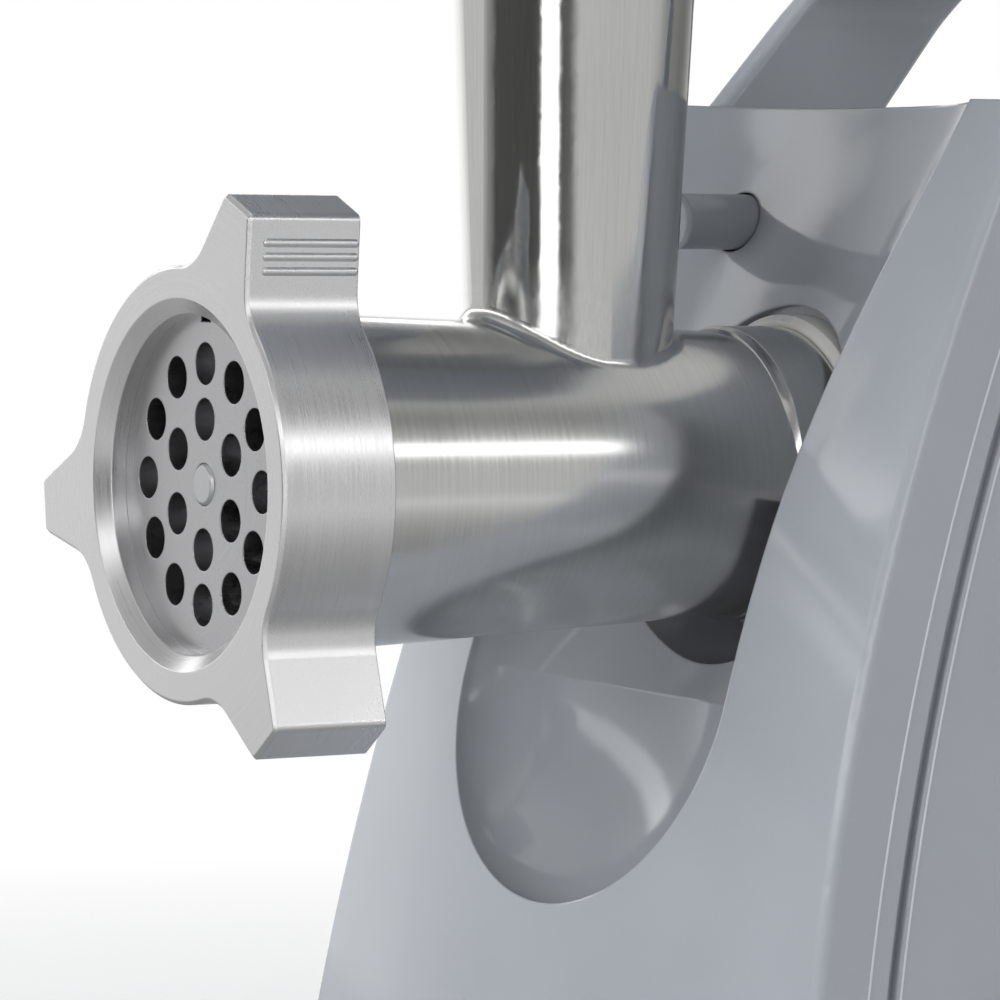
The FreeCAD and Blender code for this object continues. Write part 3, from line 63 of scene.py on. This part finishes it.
class Finish:
    """A node material that reads Object coordinates and ends in one Principled shader."""

    def __init__(self, name, colour, roughness, metallic=0.0):
        self.material = bpy.data.materials.new(name)
        self.material.use_nodes = True
        self.tree = self.material.node_tree
        self.shader = self.tree.nodes["Principled BSDF"]
        self.shader.inputs["Base Color"].default_value = (*colour, 1)
        self.shader.inputs["Roughness"].default_value = roughness
        self.shader.inputs["Metallic"].default_value = metallic
        self.place = self.node("ShaderNodeTexCoord").outputs["Object"]

    def node(self, kind, **settings):
        made = self.tree.nodes.new(kind)
        for key, value in settings.items():
            setattr(made, key, value)
        return made

    def link(self, source, target):
        self.tree.links.new(source, target)

    def math(self, operation, first, second=None):
        made = self.node("ShaderNodeMath", operation=operation)
        for socket, value in zip(made.inputs, (first, second)):
            if value is None:
                continue
            if isinstance(value, (int, float)):
                socket.default_value = value
            else:
                self.link(value, socket)
        return made.outputs[0]

    def stretched(self, scale):
        """Object coordinates multiplied by three factors."""
        mapping = self.node("ShaderNodeMapping")
        mapping.inputs["Scale"].default_value = scale
        self.link(self.place, mapping.inputs["Vector"])
        return mapping.outputs["Vector"]

    def around_barrel(self, across, along, round_about):
        """Coordinates that follow the barrel: distance from its line, length and turn."""
        parts = self.node("ShaderNodeSeparateXYZ")
        self.link(self.place, parts.inputs[0])
        x, y = parts.outputs["X"], parts.outputs["Y"]
        z = self.math("SUBTRACT", parts.outputs["Z"], BARREL_HEIGHT)
        squares = self.math("ADD", self.math("MULTIPLY", x, x), self.math("MULTIPLY", z, z))
        radius = self.math("SQRT", squares)
        turn = self.math("ARCTAN2", z, x)
        joined = self.node("ShaderNodeCombineXYZ")
        self.link(self.math("MULTIPLY", radius, across), joined.inputs[0])
        self.link(self.math("MULTIPLY", y, along), joined.inputs[1])
        self.link(self.math("MULTIPLY", turn, round_about), joined.inputs[2])
        return joined.outputs[0]

    def noise(self, vector, scale=1.0, detail=3.0, soft=0.5):
        made = self.node("ShaderNodeTexNoise")
        made.inputs["Scale"].default_value = scale
        made.inputs["Detail"].default_value = detail
        made.inputs["Roughness"].default_value = soft
        self.link(vector, made.inputs["Vector"])
        return made.outputs["Fac"]

    def between(self, value, low, high, from_low=0.3, from_high=0.7):
        made = self.node("ShaderNodeMapRange")
        made.inputs["From Min"].default_value = from_low
        made.inputs["From Max"].default_value = from_high
        made.inputs["To Min"].default_value = low
        made.inputs["To Max"].default_value = high
        self.link(value, made.inputs["Value"])
        return made.outputs["Result"]

    def tint(self, value, dark, light):
        """Base colour that drifts between two shades."""
        ramp = self.node("ShaderNodeValToRGB")
        ramp.color_ramp.elements[0].position = 0.3
        ramp.color_ramp.elements[1].position = 0.7
        ramp.color_ramp.elements[0].color = (*dark, 1)
        ramp.color_ramp.elements[1].color = (*light, 1)
        self.link(value, ramp.inputs["Fac"])
        self.link(ramp.outputs["Color"], self.shader.inputs["Base Color"])

    def rough(self, value, low, high):
        self.link(self.between(value, low, high), self.shader.inputs["Roughness"])

    def bump(self, height, strength, distance, edge=0.0):
        """Fine relief; an edge radius also softens the shading of sharp corners."""
        made = self.node("ShaderNodeBump")
        made.inputs["Strength"].default_value = strength
        made.inputs["Distance"].default_value = distance
        self.link(height, made.inputs["Height"])
        if edge:
            softened = self.node("ShaderNodeBevel", samples=6)
            softened.inputs["Radius"].default_value = edge
            self.link(softened.outputs["Normal"], made.inputs["Normal"])
        self.link(made.outputs["Normal"], self.shader.inputs["Normal"])

    def above(self, level, blend, low, high):
        """One value under a height and another over it."""
        parts = self.node("ShaderNodeSeparateXYZ")
        self.link(self.place, parts.inputs[0])
        share = self.between(parts.outputs["Z"], 0.0, 1.0, level - blend, level + blend)
        mixed = self.node("ShaderNodeMix")
        self.link(share, mixed.inputs["Factor"])
        self.link(low, mixed.inputs[2])
        self.link(high, mixed.inputs[3])
        return mixed.outputs[0]

    def on(self, *names):
        """Puts this finish on CAD nodes."""
        for name in names:
            mesh = nodes[name].data
            mesh.materials.clear()
            mesh.materials.append(self.material)


# In metres: depths of relief, the softened edge of turned metal, and half the height over which
# turned lines give way to upright ones.
GRAIN_DEPTH = 0.0002
TURNED_DEPTH = 0.00005
METAL_EDGE = 0.0004
LINES_BLEND = 0.004


def shade(colour, factor):
    """A colour made darker or lighter."""
    return tuple(min(1.0, c * factor) for c in colour)


def gloss_plastic(name, colour, roughness=0.2, grain=1400, bump=0.04, edge=0.0005):
    """Moulded plastic: a slow drift of tone, a fine skin and small changes of gloss."""
    made = Finish(name, colour, roughness)
    made.shader.inputs["IOR"].default_value = 1.5
    drift = made.noise(made.place, 24, 2)
    made.tint(drift, shade(colour, 0.97), shade(colour, 1.03))
    made.rough(made.noise(made.place, 90, 3), roughness * 0.85, roughness * 1.15)
    made.bump(made.noise(made.place, grain, 2), bump, GRAIN_DEPTH, edge)
    return made


def grained_plastic(name, colour, roughness=0.5, grain=900):
    """Plastic with a spark-eroded grain."""
    return gloss_plastic(name, colour, roughness, grain, 0.25)


def turned_metal(name, colour, roughness, across, along, bump, upright=None):
    """Metal with fine lines that run round the barrel, and upright lines over a height if one is given."""
    made = Finish(name, colour, roughness, 1.0)
    lines = made.noise(made.around_barrel(across, along, 1.2), 1.0, 3, 0.6)
    if upright:
        drawn = made.noise(made.stretched((1500, 1500, 12)), 1.0, 3, 0.6)
        lines = made.above(upright, LINES_BLEND, lines, drawn)
    cloud = made.noise(made.place, 26, 3)
    tone = made.math("ADD", made.math("MULTIPLY", lines, 0.6), made.math("MULTIPLY", cloud, 0.4))
    made.tint(tone, shade(colour, 0.93), shade(colour, 1.05))
    gloss = made.math("ADD", made.math("MULTIPLY", lines, 0.5), made.math("MULTIPLY", cloud, 0.5))
    satin = made.between(gloss, roughness * 0.75, roughness * 1.25)
    if upright:
        satin = made.above(upright, LINES_BLEND, satin, made.math("MULTIPLY", satin, 0.6))
    made.link(satin, made.shader.inputs["Roughness"])
    made.bump(lines, bump, TURNED_DEPTH, METAL_EDGE)
    return made


def plain_metal(name, colour, roughness, scale=(700, 700, 700), bump=0.08):
    """Metal with lines or a grain by the three scales."""
    made = Finish(name, colour, roughness, 1.0)
    lines = made.noise(made.stretched(scale), 1.0, 4, 0.6)
    made.tint(made.noise(made.place, 60, 3), shade(colour, 0.92), shade(colour, 1.05))
    made.rough(lines, roughness * 0.75, roughness * 1.25)
    made.bump(lines, bump, GRAIN_DEPTH)
    return made


HOUSING_GREY = (0.325, 0.347, 0.378)

gloss_plastic("housing_grey_gloss", HOUSING_GREY, 0.09, 1600, 0.02, 0.0008).on(
    "front_cover", "rear_casing", "carry_handle", "release_button")
gloss_plastic("tray_grey_plastic", (0.35, 0.372, 0.405), 0.24, 700, 0.012).on("hopper_tray")
gloss_plastic("pusher_grey_plastic", (0.275, 0.294, 0.325), 0.22, 700, 0.012).on("pusher_stem", "pusher_cap")
gloss_plastic("knob_grey_plastic", (0.16, 0.172, 0.195), 0.28, 1200, 0.05).on("selector_knob")
gloss_plastic("socket_cream_plastic", (0.78, 0.77, 0.73), 0.3, 1000, 0.05).on("socket_ring")
grained_plastic("coupling_cream_plastic", (0.72, 0.70, 0.64), 0.42).on("drive_coupling")
grained_plastic("base_grey_plastic", (0.17, 0.182, 0.2), 0.5).on("base_plate")
grained_plastic("wheel_cream_plastic", (0.66, 0.63, 0.54), 0.4).on("second_wheel", "first_wheel")
grained_plastic("motor_black_plastic", (0.03, 0.03, 0.032), 0.45).on(
    "cooling_fan", "motor_bracket", "motor_cradle", "switch_block")
grained_plastic("brush_carbon", (0.025, 0.025, 0.026), 0.6).on("carbon_brushes")
grained_plastic("foot_rubber", (0.022, 0.022, 0.023), 0.7, 500).on("feet", "cord_gland")
turned_metal("nut_satin_aluminium", (0.72, 0.72, 0.725), 0.3, 2600, 2600, 0.12).on("ring_nut")
NECK_FOOT = 0.204
turned_metal("barrel_polished_aluminium", (0.64, 0.64, 0.63), 0.17, 500, 1500, 0.04, NECK_FOOT).on(
    "grinder_barrel")
turned_metal("plate_ground_steel", (0.52, 0.52, 0.53), 0.3, 900, 300, 0.12).on(
    "perforated_plate", "cross_blade")
turned_metal("worm_cast_aluminium", (0.6, 0.605, 0.615), 0.36, 300, 300, 0.12).on("feed_screw")
turned_metal("shaft_steel", (0.5, 0.5, 0.51), 0.26, 900, 900, 0.1).on(
    "output_shaft", "second_shaft", "first_shaft", "motor_shaft", "thrust_washer", "plate_key",
    "spring_pin", "lock_arm", "button_spring")
plain_metal("gear_steel", (0.42, 0.42, 0.43), 0.34).on(
    "second_pinion", "first_pinion", "motor_pinion", "output_gear")
plain_metal("plate_zinc", (0.5, 0.51, 0.53), 0.36, (300, 300, 1400)).on(
    "gear_plate_front", "gear_plate_rear", "gear_pillars")
plain_metal("screw_zinc", (0.58, 0.58, 0.58), 0.28).on(
    "base_screws", "gear_screws", "motor_bolts", "coupling_screw")
plain_metal("bush_brass", (0.62, 0.44, 0.19), 0.3).on("barrel_bush", "shaft_bushes", "brush_holders")
plain_metal("bearing_chrome", (0.62, 0.62, 0.63), 0.14).on("output_bearing")
plain_metal("core_iron", (0.14, 0.14, 0.15), 0.5, (200, 2400, 200), 0.3).on("motor_stator", "armature")
plain_metal("winding_copper", (0.62, 0.27, 0.13), 0.34, (1800, 200, 200), 0.3).on("field_coils", "commutator")


# Grip ribs on the ring nut: three low bars across one flank of each lug.


def rounded_bar(name, length, radius):
    """A bar along Y with domed ends, made from a cylinder."""
    deselect()
    bpy.ops.mesh.primitive_cylinder_add(
        vertices=24, radius=radius, depth=length, rotation=(math.pi / 2, 0, 0))
    bar = bpy.context.object
    bar.name = name
    bpy.ops.object.transform_apply(rotation=True)
    bpy.ops.object.mode_set(mode="EDIT")
    bpy.ops.mesh.select_mode(type="FACE")
    bpy.ops.mesh.select_all(action="DESELECT")
    bpy.ops.object.mode_set(mode="OBJECT")
    for face in bar.data.polygons:
        face.select = abs(face.normal.y) > 0.9
    bpy.ops.object.mode_set(mode="EDIT")
    bpy.ops.mesh.bevel(offset=radius * 0.7, segments=4, affect="EDGES")
    bpy.ops.object.mode_set(mode="OBJECT")
    bpy.ops.object.shade_smooth_by_angle(angle=math.radians(40))
    return bar


LUG_TURN = math.radians(22.5)
RIB_LENGTH, RIB_RADIUS = 0.02, 0.0009
RIB_SUNK = 0.0004
RIB_SETBACK = 0.0015
RIB_REACHES = (0.0473, 0.0498, 0.0522)
CLEAR_OF_LUG = 0.05
rib_start = rounded_bar("lug_rib", RIB_LENGTH, RIB_RADIUS)
nut_low, nut_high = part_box("ring_nut")
nut_middle = (nut_low[1] + nut_high[1]) / 2 + RIB_SETBACK
ribs = []
for lug in range(3):
    turn = LUG_TURN + lug * math.radians(120)
    outward = Vector((math.sin(turn), 0, math.cos(turn)))
    sideways = Vector((math.cos(turn), 0, -math.sin(turn)))
    for reach in RIB_REACHES:
        start = Vector((0, nut_middle, BARREL_HEIGHT)) + outward * reach + sideways * CLEAR_OF_LUG
        _, spot, normal, _ = nodes["ring_nut"].ray_cast(start, -sideways)
        deselect()
        rib_start.select_set(True)
        bpy.context.view_layer.objects.active = rib_start
        bpy.ops.object.duplicate()
        rib = bpy.context.object
        rib.name = f"lug_rib_{lug}_{len(ribs) % 3}"
        rib.location = spot - normal * RIB_SUNK
        bpy.ops.object.transform_apply(location=True)
        ribs.append(rib)
bpy.data.objects.remove(rib_start)
for rib in ribs:
    rib.data.materials.clear()
    rib.data.materials.append(nodes["ring_nut"].data.materials[0])
    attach(rib, "nut")


# Fine moulded lines beside the seam: one on the cover's step, one on the lip of the rear casing. They are a
# lighter grey than the housing: a painted highlight along these rounded edges.
FRONT_ARC, ARC_LEVEL, CASING_FRONT, MIDDLE_BACK = 0.64, -0.21, 0.0668, 0.131
LINE_RADIUS = 0.0003
LINE_FOOT, LINE_STEP, LINE_POINTS = -0.156, 0.0072, 30
CLEAR_OF_SIDE = 0.2
STEP_BEHIND, LIP_BEHIND = 0.0194, 0.0267


def front_line(level):
    """How far back the casing's front stands at a level over the barrel's line."""
    bulge = math.sqrt(FRONT_ARC ** 2 - (level - ARC_LEVEL) ** 2)
    return CASING_FRONT + FRONT_ARC - bulge - MIDDLE_BACK


def seam_line(name, node, behind, side):
    """A thin rounded line that lies on a casing's side, a fixed way behind its front."""
    shape = bpy.data.curves.new(name, "CURVE")
    shape.dimensions = "3D"
    shape.bevel_depth = LINE_RADIUS
    shape.bevel_resolution = 2
    shape.use_fill_caps = True
    points = []
    for step in range(LINE_POINTS):
        level = LINE_FOOT + step * LINE_STEP
        start = Vector((side * CLEAR_OF_SIDE, front_line(level) + behind, BARREL_HEIGHT + level))
        struck, spot, normal, _ = nodes[node].ray_cast(start, Vector((-side, 0, 0)))
        if struck:
            points.append(spot - normal * LINE_RADIUS * 0.3)
    path = shape.splines.new("POLY")
    path.points.add(len(points) - 1)
    for point, place in zip(path.points, points):
        point.co = (*place, 1)
    line = bpy.data.objects.new(name, shape)
    bpy.context.collection.objects.link(line)
    deselect()
    line.select_set(True)
    bpy.context.view_layer.objects.active = line
    bpy.ops.object.convert(target="MESH")
    bpy.ops.object.shade_smooth_by_angle(angle=math.radians(60))
    line.data.materials.append(seam_highlight_paint.material)
    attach(line, "base")


# Lighter grey than the housing: a painted highlight for the seam lines.
seam_highlight_paint = gloss_plastic("seam_painted_highlight", (0.52, 0.545, 0.58), 0.12, 1600, 0.01)
for side, word in ((1, "near"), (-1, "far")):
    seam_line(f"seam_step_{word}", "front_cover", STEP_BEHIND, side)
    seam_line(f"seam_lip_{word}", "rear_casing", LIP_BEHIND, side)


# Coil spring behind the release button, built at one length; it does not shorten as the button goes in.
coil_low, coil_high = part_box("button_spring")
WIRE = 0.00045
WIRE_SIDES = 12
TURNS = 7
STEPS_PER_TURN = 28
coil_middle = ((coil_low[0] + coil_high[0]) / 2, 0, (coil_low[2] + coil_high[2]) / 2)
coil_radius = (coil_high[0] - coil_low[0]) / 2 - WIRE
coil_length = coil_high[1] - coil_low[1]
deselect()
bpy.ops.mesh.primitive_circle_add(
    vertices=WIRE_SIDES, radius=WIRE, fill_type="NOTHING", location=(0, 0, 0))
coil = bpy.context.object
coil.name = "button_coil"
coil.data.transform(Matrix.Translation((coil_radius, 0, 0)))
winding = coil.modifiers.new("winding", "SCREW")
winding.axis = "Y"
winding.steps = winding.render_steps = STEPS_PER_TURN
winding.iterations = TURNS
winding.screw_offset = (coil_length - 2 * WIRE) / TURNS
bpy.ops.object.modifier_apply(modifier="winding")
coil.location = (coil_middle[0], coil_low[1] + WIRE, coil_middle[2])
bpy.ops.object.transform_apply(location=True)
bpy.ops.object.mode_set(mode="EDIT")
bpy.ops.mesh.select_all(action="SELECT")
bpy.ops.mesh.fill_holes(sides=WIRE_SIDES)
bpy.ops.mesh.normals_make_consistent(inside=False)
bpy.ops.object.mode_set(mode="OBJECT")
bpy.ops.object.shade_smooth_by_angle(angle=math.radians(50))
coil.data.materials.append(nodes["button_spring"].data.materials[0])
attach(coil, "base")
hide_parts("button_spring")
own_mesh(coil)


# Pointer line on the selector knob's grip.
POINTER_LENGTH, POINTER_RADIUS = 0.009, 0.0007
POINTER_SUNK, POINTER_DROP = 0.0002, 0.008
knob_low, knob_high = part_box("selector_knob")
pointer = rounded_bar("knob_pointer", POINTER_LENGTH, POINTER_RADIUS)
bpy.ops.object.mode_set(mode="EDIT")
bpy.ops.mesh.select_all(action="SELECT")
bpy.ops.transform.rotate(value=math.pi / 2, orient_axis="X", center_override=(0, 0, 0))
bpy.ops.object.mode_set(mode="OBJECT")
pointer.location = (
    knob_high[0] - POINTER_SUNK, (knob_low[1] + knob_high[1]) / 2, knob_high[2] - POINTER_DROP)
bpy.ops.object.transform_apply(location=True)
pointer.data.materials.append(gloss_plastic("pointer_white", (0.75, 0.75, 0.74), 0.3).material)
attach(pointer, "knob")


# Stage: a pale floor, a soft box above, four smaller lights and a banded studio that only metal and
# gloss mirror. Distances on the floor are from the object's middle, in metres.
SHADOW_END, WHITE_FROM = 0.25, 0.62
MIRROR_DARK, MIRROR_PALE = 0.15, 0.9
CLEAR_FROM, CLEAR_TO = 1.0, 1.6


def pale_floor():
    """A pale floor that keeps the shadow near the object and runs out to white; in metal and gloss it shows
    as a glow, dim near the object and paler farther out, which is a painted reflection.
    """
    deselect()
    bpy.ops.mesh.primitive_plane_add(size=30, location=(0, 0, -0.0002))
    floor = bpy.context.object
    floor.name = "studio_floor"
    made = Finish("floor_pale", (0.82, 0.825, 0.835), 0.7)
    made.tint(made.noise(made.place, 3, 2), (0.81, 0.815, 0.825), (0.83, 0.835, 0.845))
    span = made.node("ShaderNodeVectorMath", operation="LENGTH")
    made.link(made.place, span.inputs[0])
    away = span.outputs["Value"]
    far = made.between(away, 0.0, 1.0, SHADOW_END, WHITE_FROM)
    rays = made.node("ShaderNodeLightPath")
    white = made.node("ShaderNodeEmission")
    white.inputs["Color"].default_value = (1, 1, 1, 1)
    # Painted reflection: what metal and gloss mirror of the floor is a glow, dimmer near the object, paler
    # farther out, then clear.
    mirrored = made.node("ShaderNodeEmission")
    made.link(made.between(away, 0.3, 0.85, MIRROR_DARK, MIRROR_PALE), mirrored.inputs["Strength"])
    clear = made.node("ShaderNodeBsdfTransparent")
    open_floor = made.node("ShaderNodeMixShader")
    made.link(made.between(away, 0.0, 1.0, CLEAR_FROM, CLEAR_TO), open_floor.inputs[0])
    made.link(mirrored.outputs[0], open_floor.inputs[1])
    made.link(clear.outputs[0], open_floor.inputs[2])
    seen = made.node("ShaderNodeMixShader")
    made.link(made.math("MULTIPLY", far, rays.outputs["Is Camera Ray"]), seen.inputs[0])
    made.link(made.shader.outputs[0], seen.inputs[1])
    made.link(white.outputs[0], seen.inputs[2])
    both = made.node("ShaderNodeMixShader")
    made.link(rays.outputs["Is Glossy Ray"], both.inputs[0])
    made.link(seen.outputs[0], both.inputs[1])
    made.link(open_floor.outputs[0], both.inputs[2])
    made.link(both.outputs[0], made.tree.nodes["Material Output"].inputs["Surface"])
    floor.data.materials.append(made.material)


def lamp(name, where, aim, size, power):
    """A soft white panel that lights the object and is not mirrored in it."""
    data = bpy.data.lights.new(name, "AREA")
    data.shape = "RECTANGLE"
    data.size, data.size_y = size
    data.energy = power
    made = bpy.data.objects.new(name, data)
    bpy.context.collection.objects.link(made)
    made.location = where
    made.rotation_euler = (Vector(aim) - Vector(where)).to_track_quat("-Z", "Y").to_euler()
    made.visible_camera = False
    made.visible_glossy = False


def studio_world():
    """White behind the object; what shines back from metal has darker walls between bright strips."""
    world = bpy.data.worlds.new("studio")
    bpy.context.scene.world = world
    world.use_nodes = True
    tree = world.node_tree
    background = tree.nodes["Background"]
    out = tree.nodes["World Output"]

    def add(kind, **settings):
        made = tree.nodes.new(kind)
        for key, value in settings.items():
            setattr(made, key, value)
        return made

    place = add("ShaderNodeTexCoord")
    parts = add("ShaderNodeSeparateXYZ")
    tree.links.new(place.outputs["Generated"], parts.inputs[0])
    turn = add("ShaderNodeMath", operation="ARCTAN2")
    tree.links.new(parts.outputs["Y"], turn.inputs[0])
    tree.links.new(parts.outputs["X"], turn.inputs[1])
    share = add("ShaderNodeMapRange")
    share.inputs["From Min"].default_value = -math.pi
    share.inputs["From Max"].default_value = math.pi
    tree.links.new(turn.outputs[0], share.inputs["Value"])

    def ramp(source, bands):
        made = add("ShaderNodeValToRGB")
        made.color_ramp.interpolation = "EASE"
        while len(made.color_ramp.elements) < len(bands):
            made.color_ramp.elements.new(0.5)
        for element, (position, level) in zip(made.color_ramp.elements, bands):
            element.position = position
            element.color = (level, level, level, 1)
        tree.links.new(source, made.inputs["Fac"])
        return made.outputs["Color"]

    walls = ramp(share.outputs["Result"], (
        (0.0, 1.4), (0.045, 1.3), (0.085, 0.7), (0.125, 0.3), (0.16, 0.09), (0.33, 0.08),
        (0.346, 2.8), (0.386, 2.8), (0.405, 0.12), (0.43, 0.15), (0.47, 0.67), (0.6, 0.65),
        (0.68, 0.3), (0.76, 0.22), (0.86, 0.5), (0.93, 1.2), (1.0, 1.4)))
    above = ramp(parts.outputs["Z"], (
        (0.0, 0.5), (0.2, 0.55), (0.28, 0.7), (0.315, 3.0), (0.37, 3.0), (0.42, 0.55),
        (0.6, 0.32), (0.8, 0.6), (1.0, 1.1)))
    height = ramp(parts.outputs["Z"], ((0.12, 0.0), (0.24, 1.0)))
    sky = add("ShaderNodeMix", data_type="RGBA")
    tree.links.new(height, sky.inputs["Factor"])
    tree.links.new(walls, sky.inputs[6])
    tree.links.new(above, sky.inputs[7])
    rays = add("ShaderNodeLightPath")
    background.inputs["Strength"].default_value = 1.0
    tree.links.new(sky.outputs[2], background.inputs["Color"])
    plain = add("ShaderNodeBackground")
    plain.inputs["Color"].default_value = (1, 1, 1, 1)
    plain.inputs["Strength"].default_value = 0.6
    mirrored = add("ShaderNodeMixShader")
    tree.links.new(rays.outputs["Is Glossy Ray"], mirrored.inputs[0])
    tree.links.new(plain.outputs[0], mirrored.inputs[1])
    tree.links.new(background.outputs[0], mirrored.inputs[2])
    white = add("ShaderNodeBackground")
    seen = add("ShaderNodeMixShader")
    white.inputs["Color"].default_value = (1, 1, 1, 1)
    tree.links.new(rays.outputs["Is Camera Ray"], seen.inputs[0])
    tree.links.new(mirrored.outputs[0], seen.inputs[1])
    tree.links.new(white.outputs[0], seen.inputs[2])
    tree.links.new(seen.outputs[0], out.inputs["Surface"])


pale_floor()
studio_world()
lamp("soft_box_above", (0.1, -0.3, 1.3), (0, 0, 0.15), (1.2, 0.9), 7)
lamp("side_light", (1.0, 0.7, 0.7), (0, 0, 0.15), (0.5, 0.9), 2)
lamp("front_light", (-0.25, -1.3, 0.32), (0, 0, 0.2), (0.7, 0.4), 4.2)
lamp("recess_light", (0.12, -0.7, 0.31), (0.03, 0, 0.22), (0.2, 0.15), 0.7)
lamp("fill_light", (0.5, -1.25, 0.3), (0, 0, 0.2), (0.5, 0.4), 1.5)


# Camera at the photograph's place, looking through the middle of its frame.
CAMERA_PLACE = (0.79881, -0.54955, 0.22318)
CAMERA_TURN, CAMERA_LIFT, CAMERA_ROLL = 58.53, 3.8155, 0.884
CAMERA_LENS = 174.383


def camera():
    """The photograph's view; the angles are in degrees from the outlet and the horizon."""
    turn, lift, roll = (math.radians(angle) for angle in (CAMERA_TURN, CAMERA_LIFT, CAMERA_ROLL))
    back = Vector((math.sin(turn) * math.cos(lift), -math.cos(turn) * math.cos(lift), math.sin(lift)))
    data = bpy.data.cameras.new("photo_camera")
    data.sensor_width = 36
    data.lens = CAMERA_LENS
    made = bpy.data.objects.new("photo_camera", data)
    bpy.context.collection.objects.link(made)
    made.matrix_world = (
        Matrix.Translation(CAMERA_PLACE)
        @ (-back).to_track_quat("-Z", "Y").to_matrix().to_4x4()
        @ Matrix.Rotation(roll, 4, "Z")
    )
    data.clip_start = 0.05
    bpy.context.scene.camera = made


camera()
bpy.context.scene.view_settings.view_transform = "Standard"
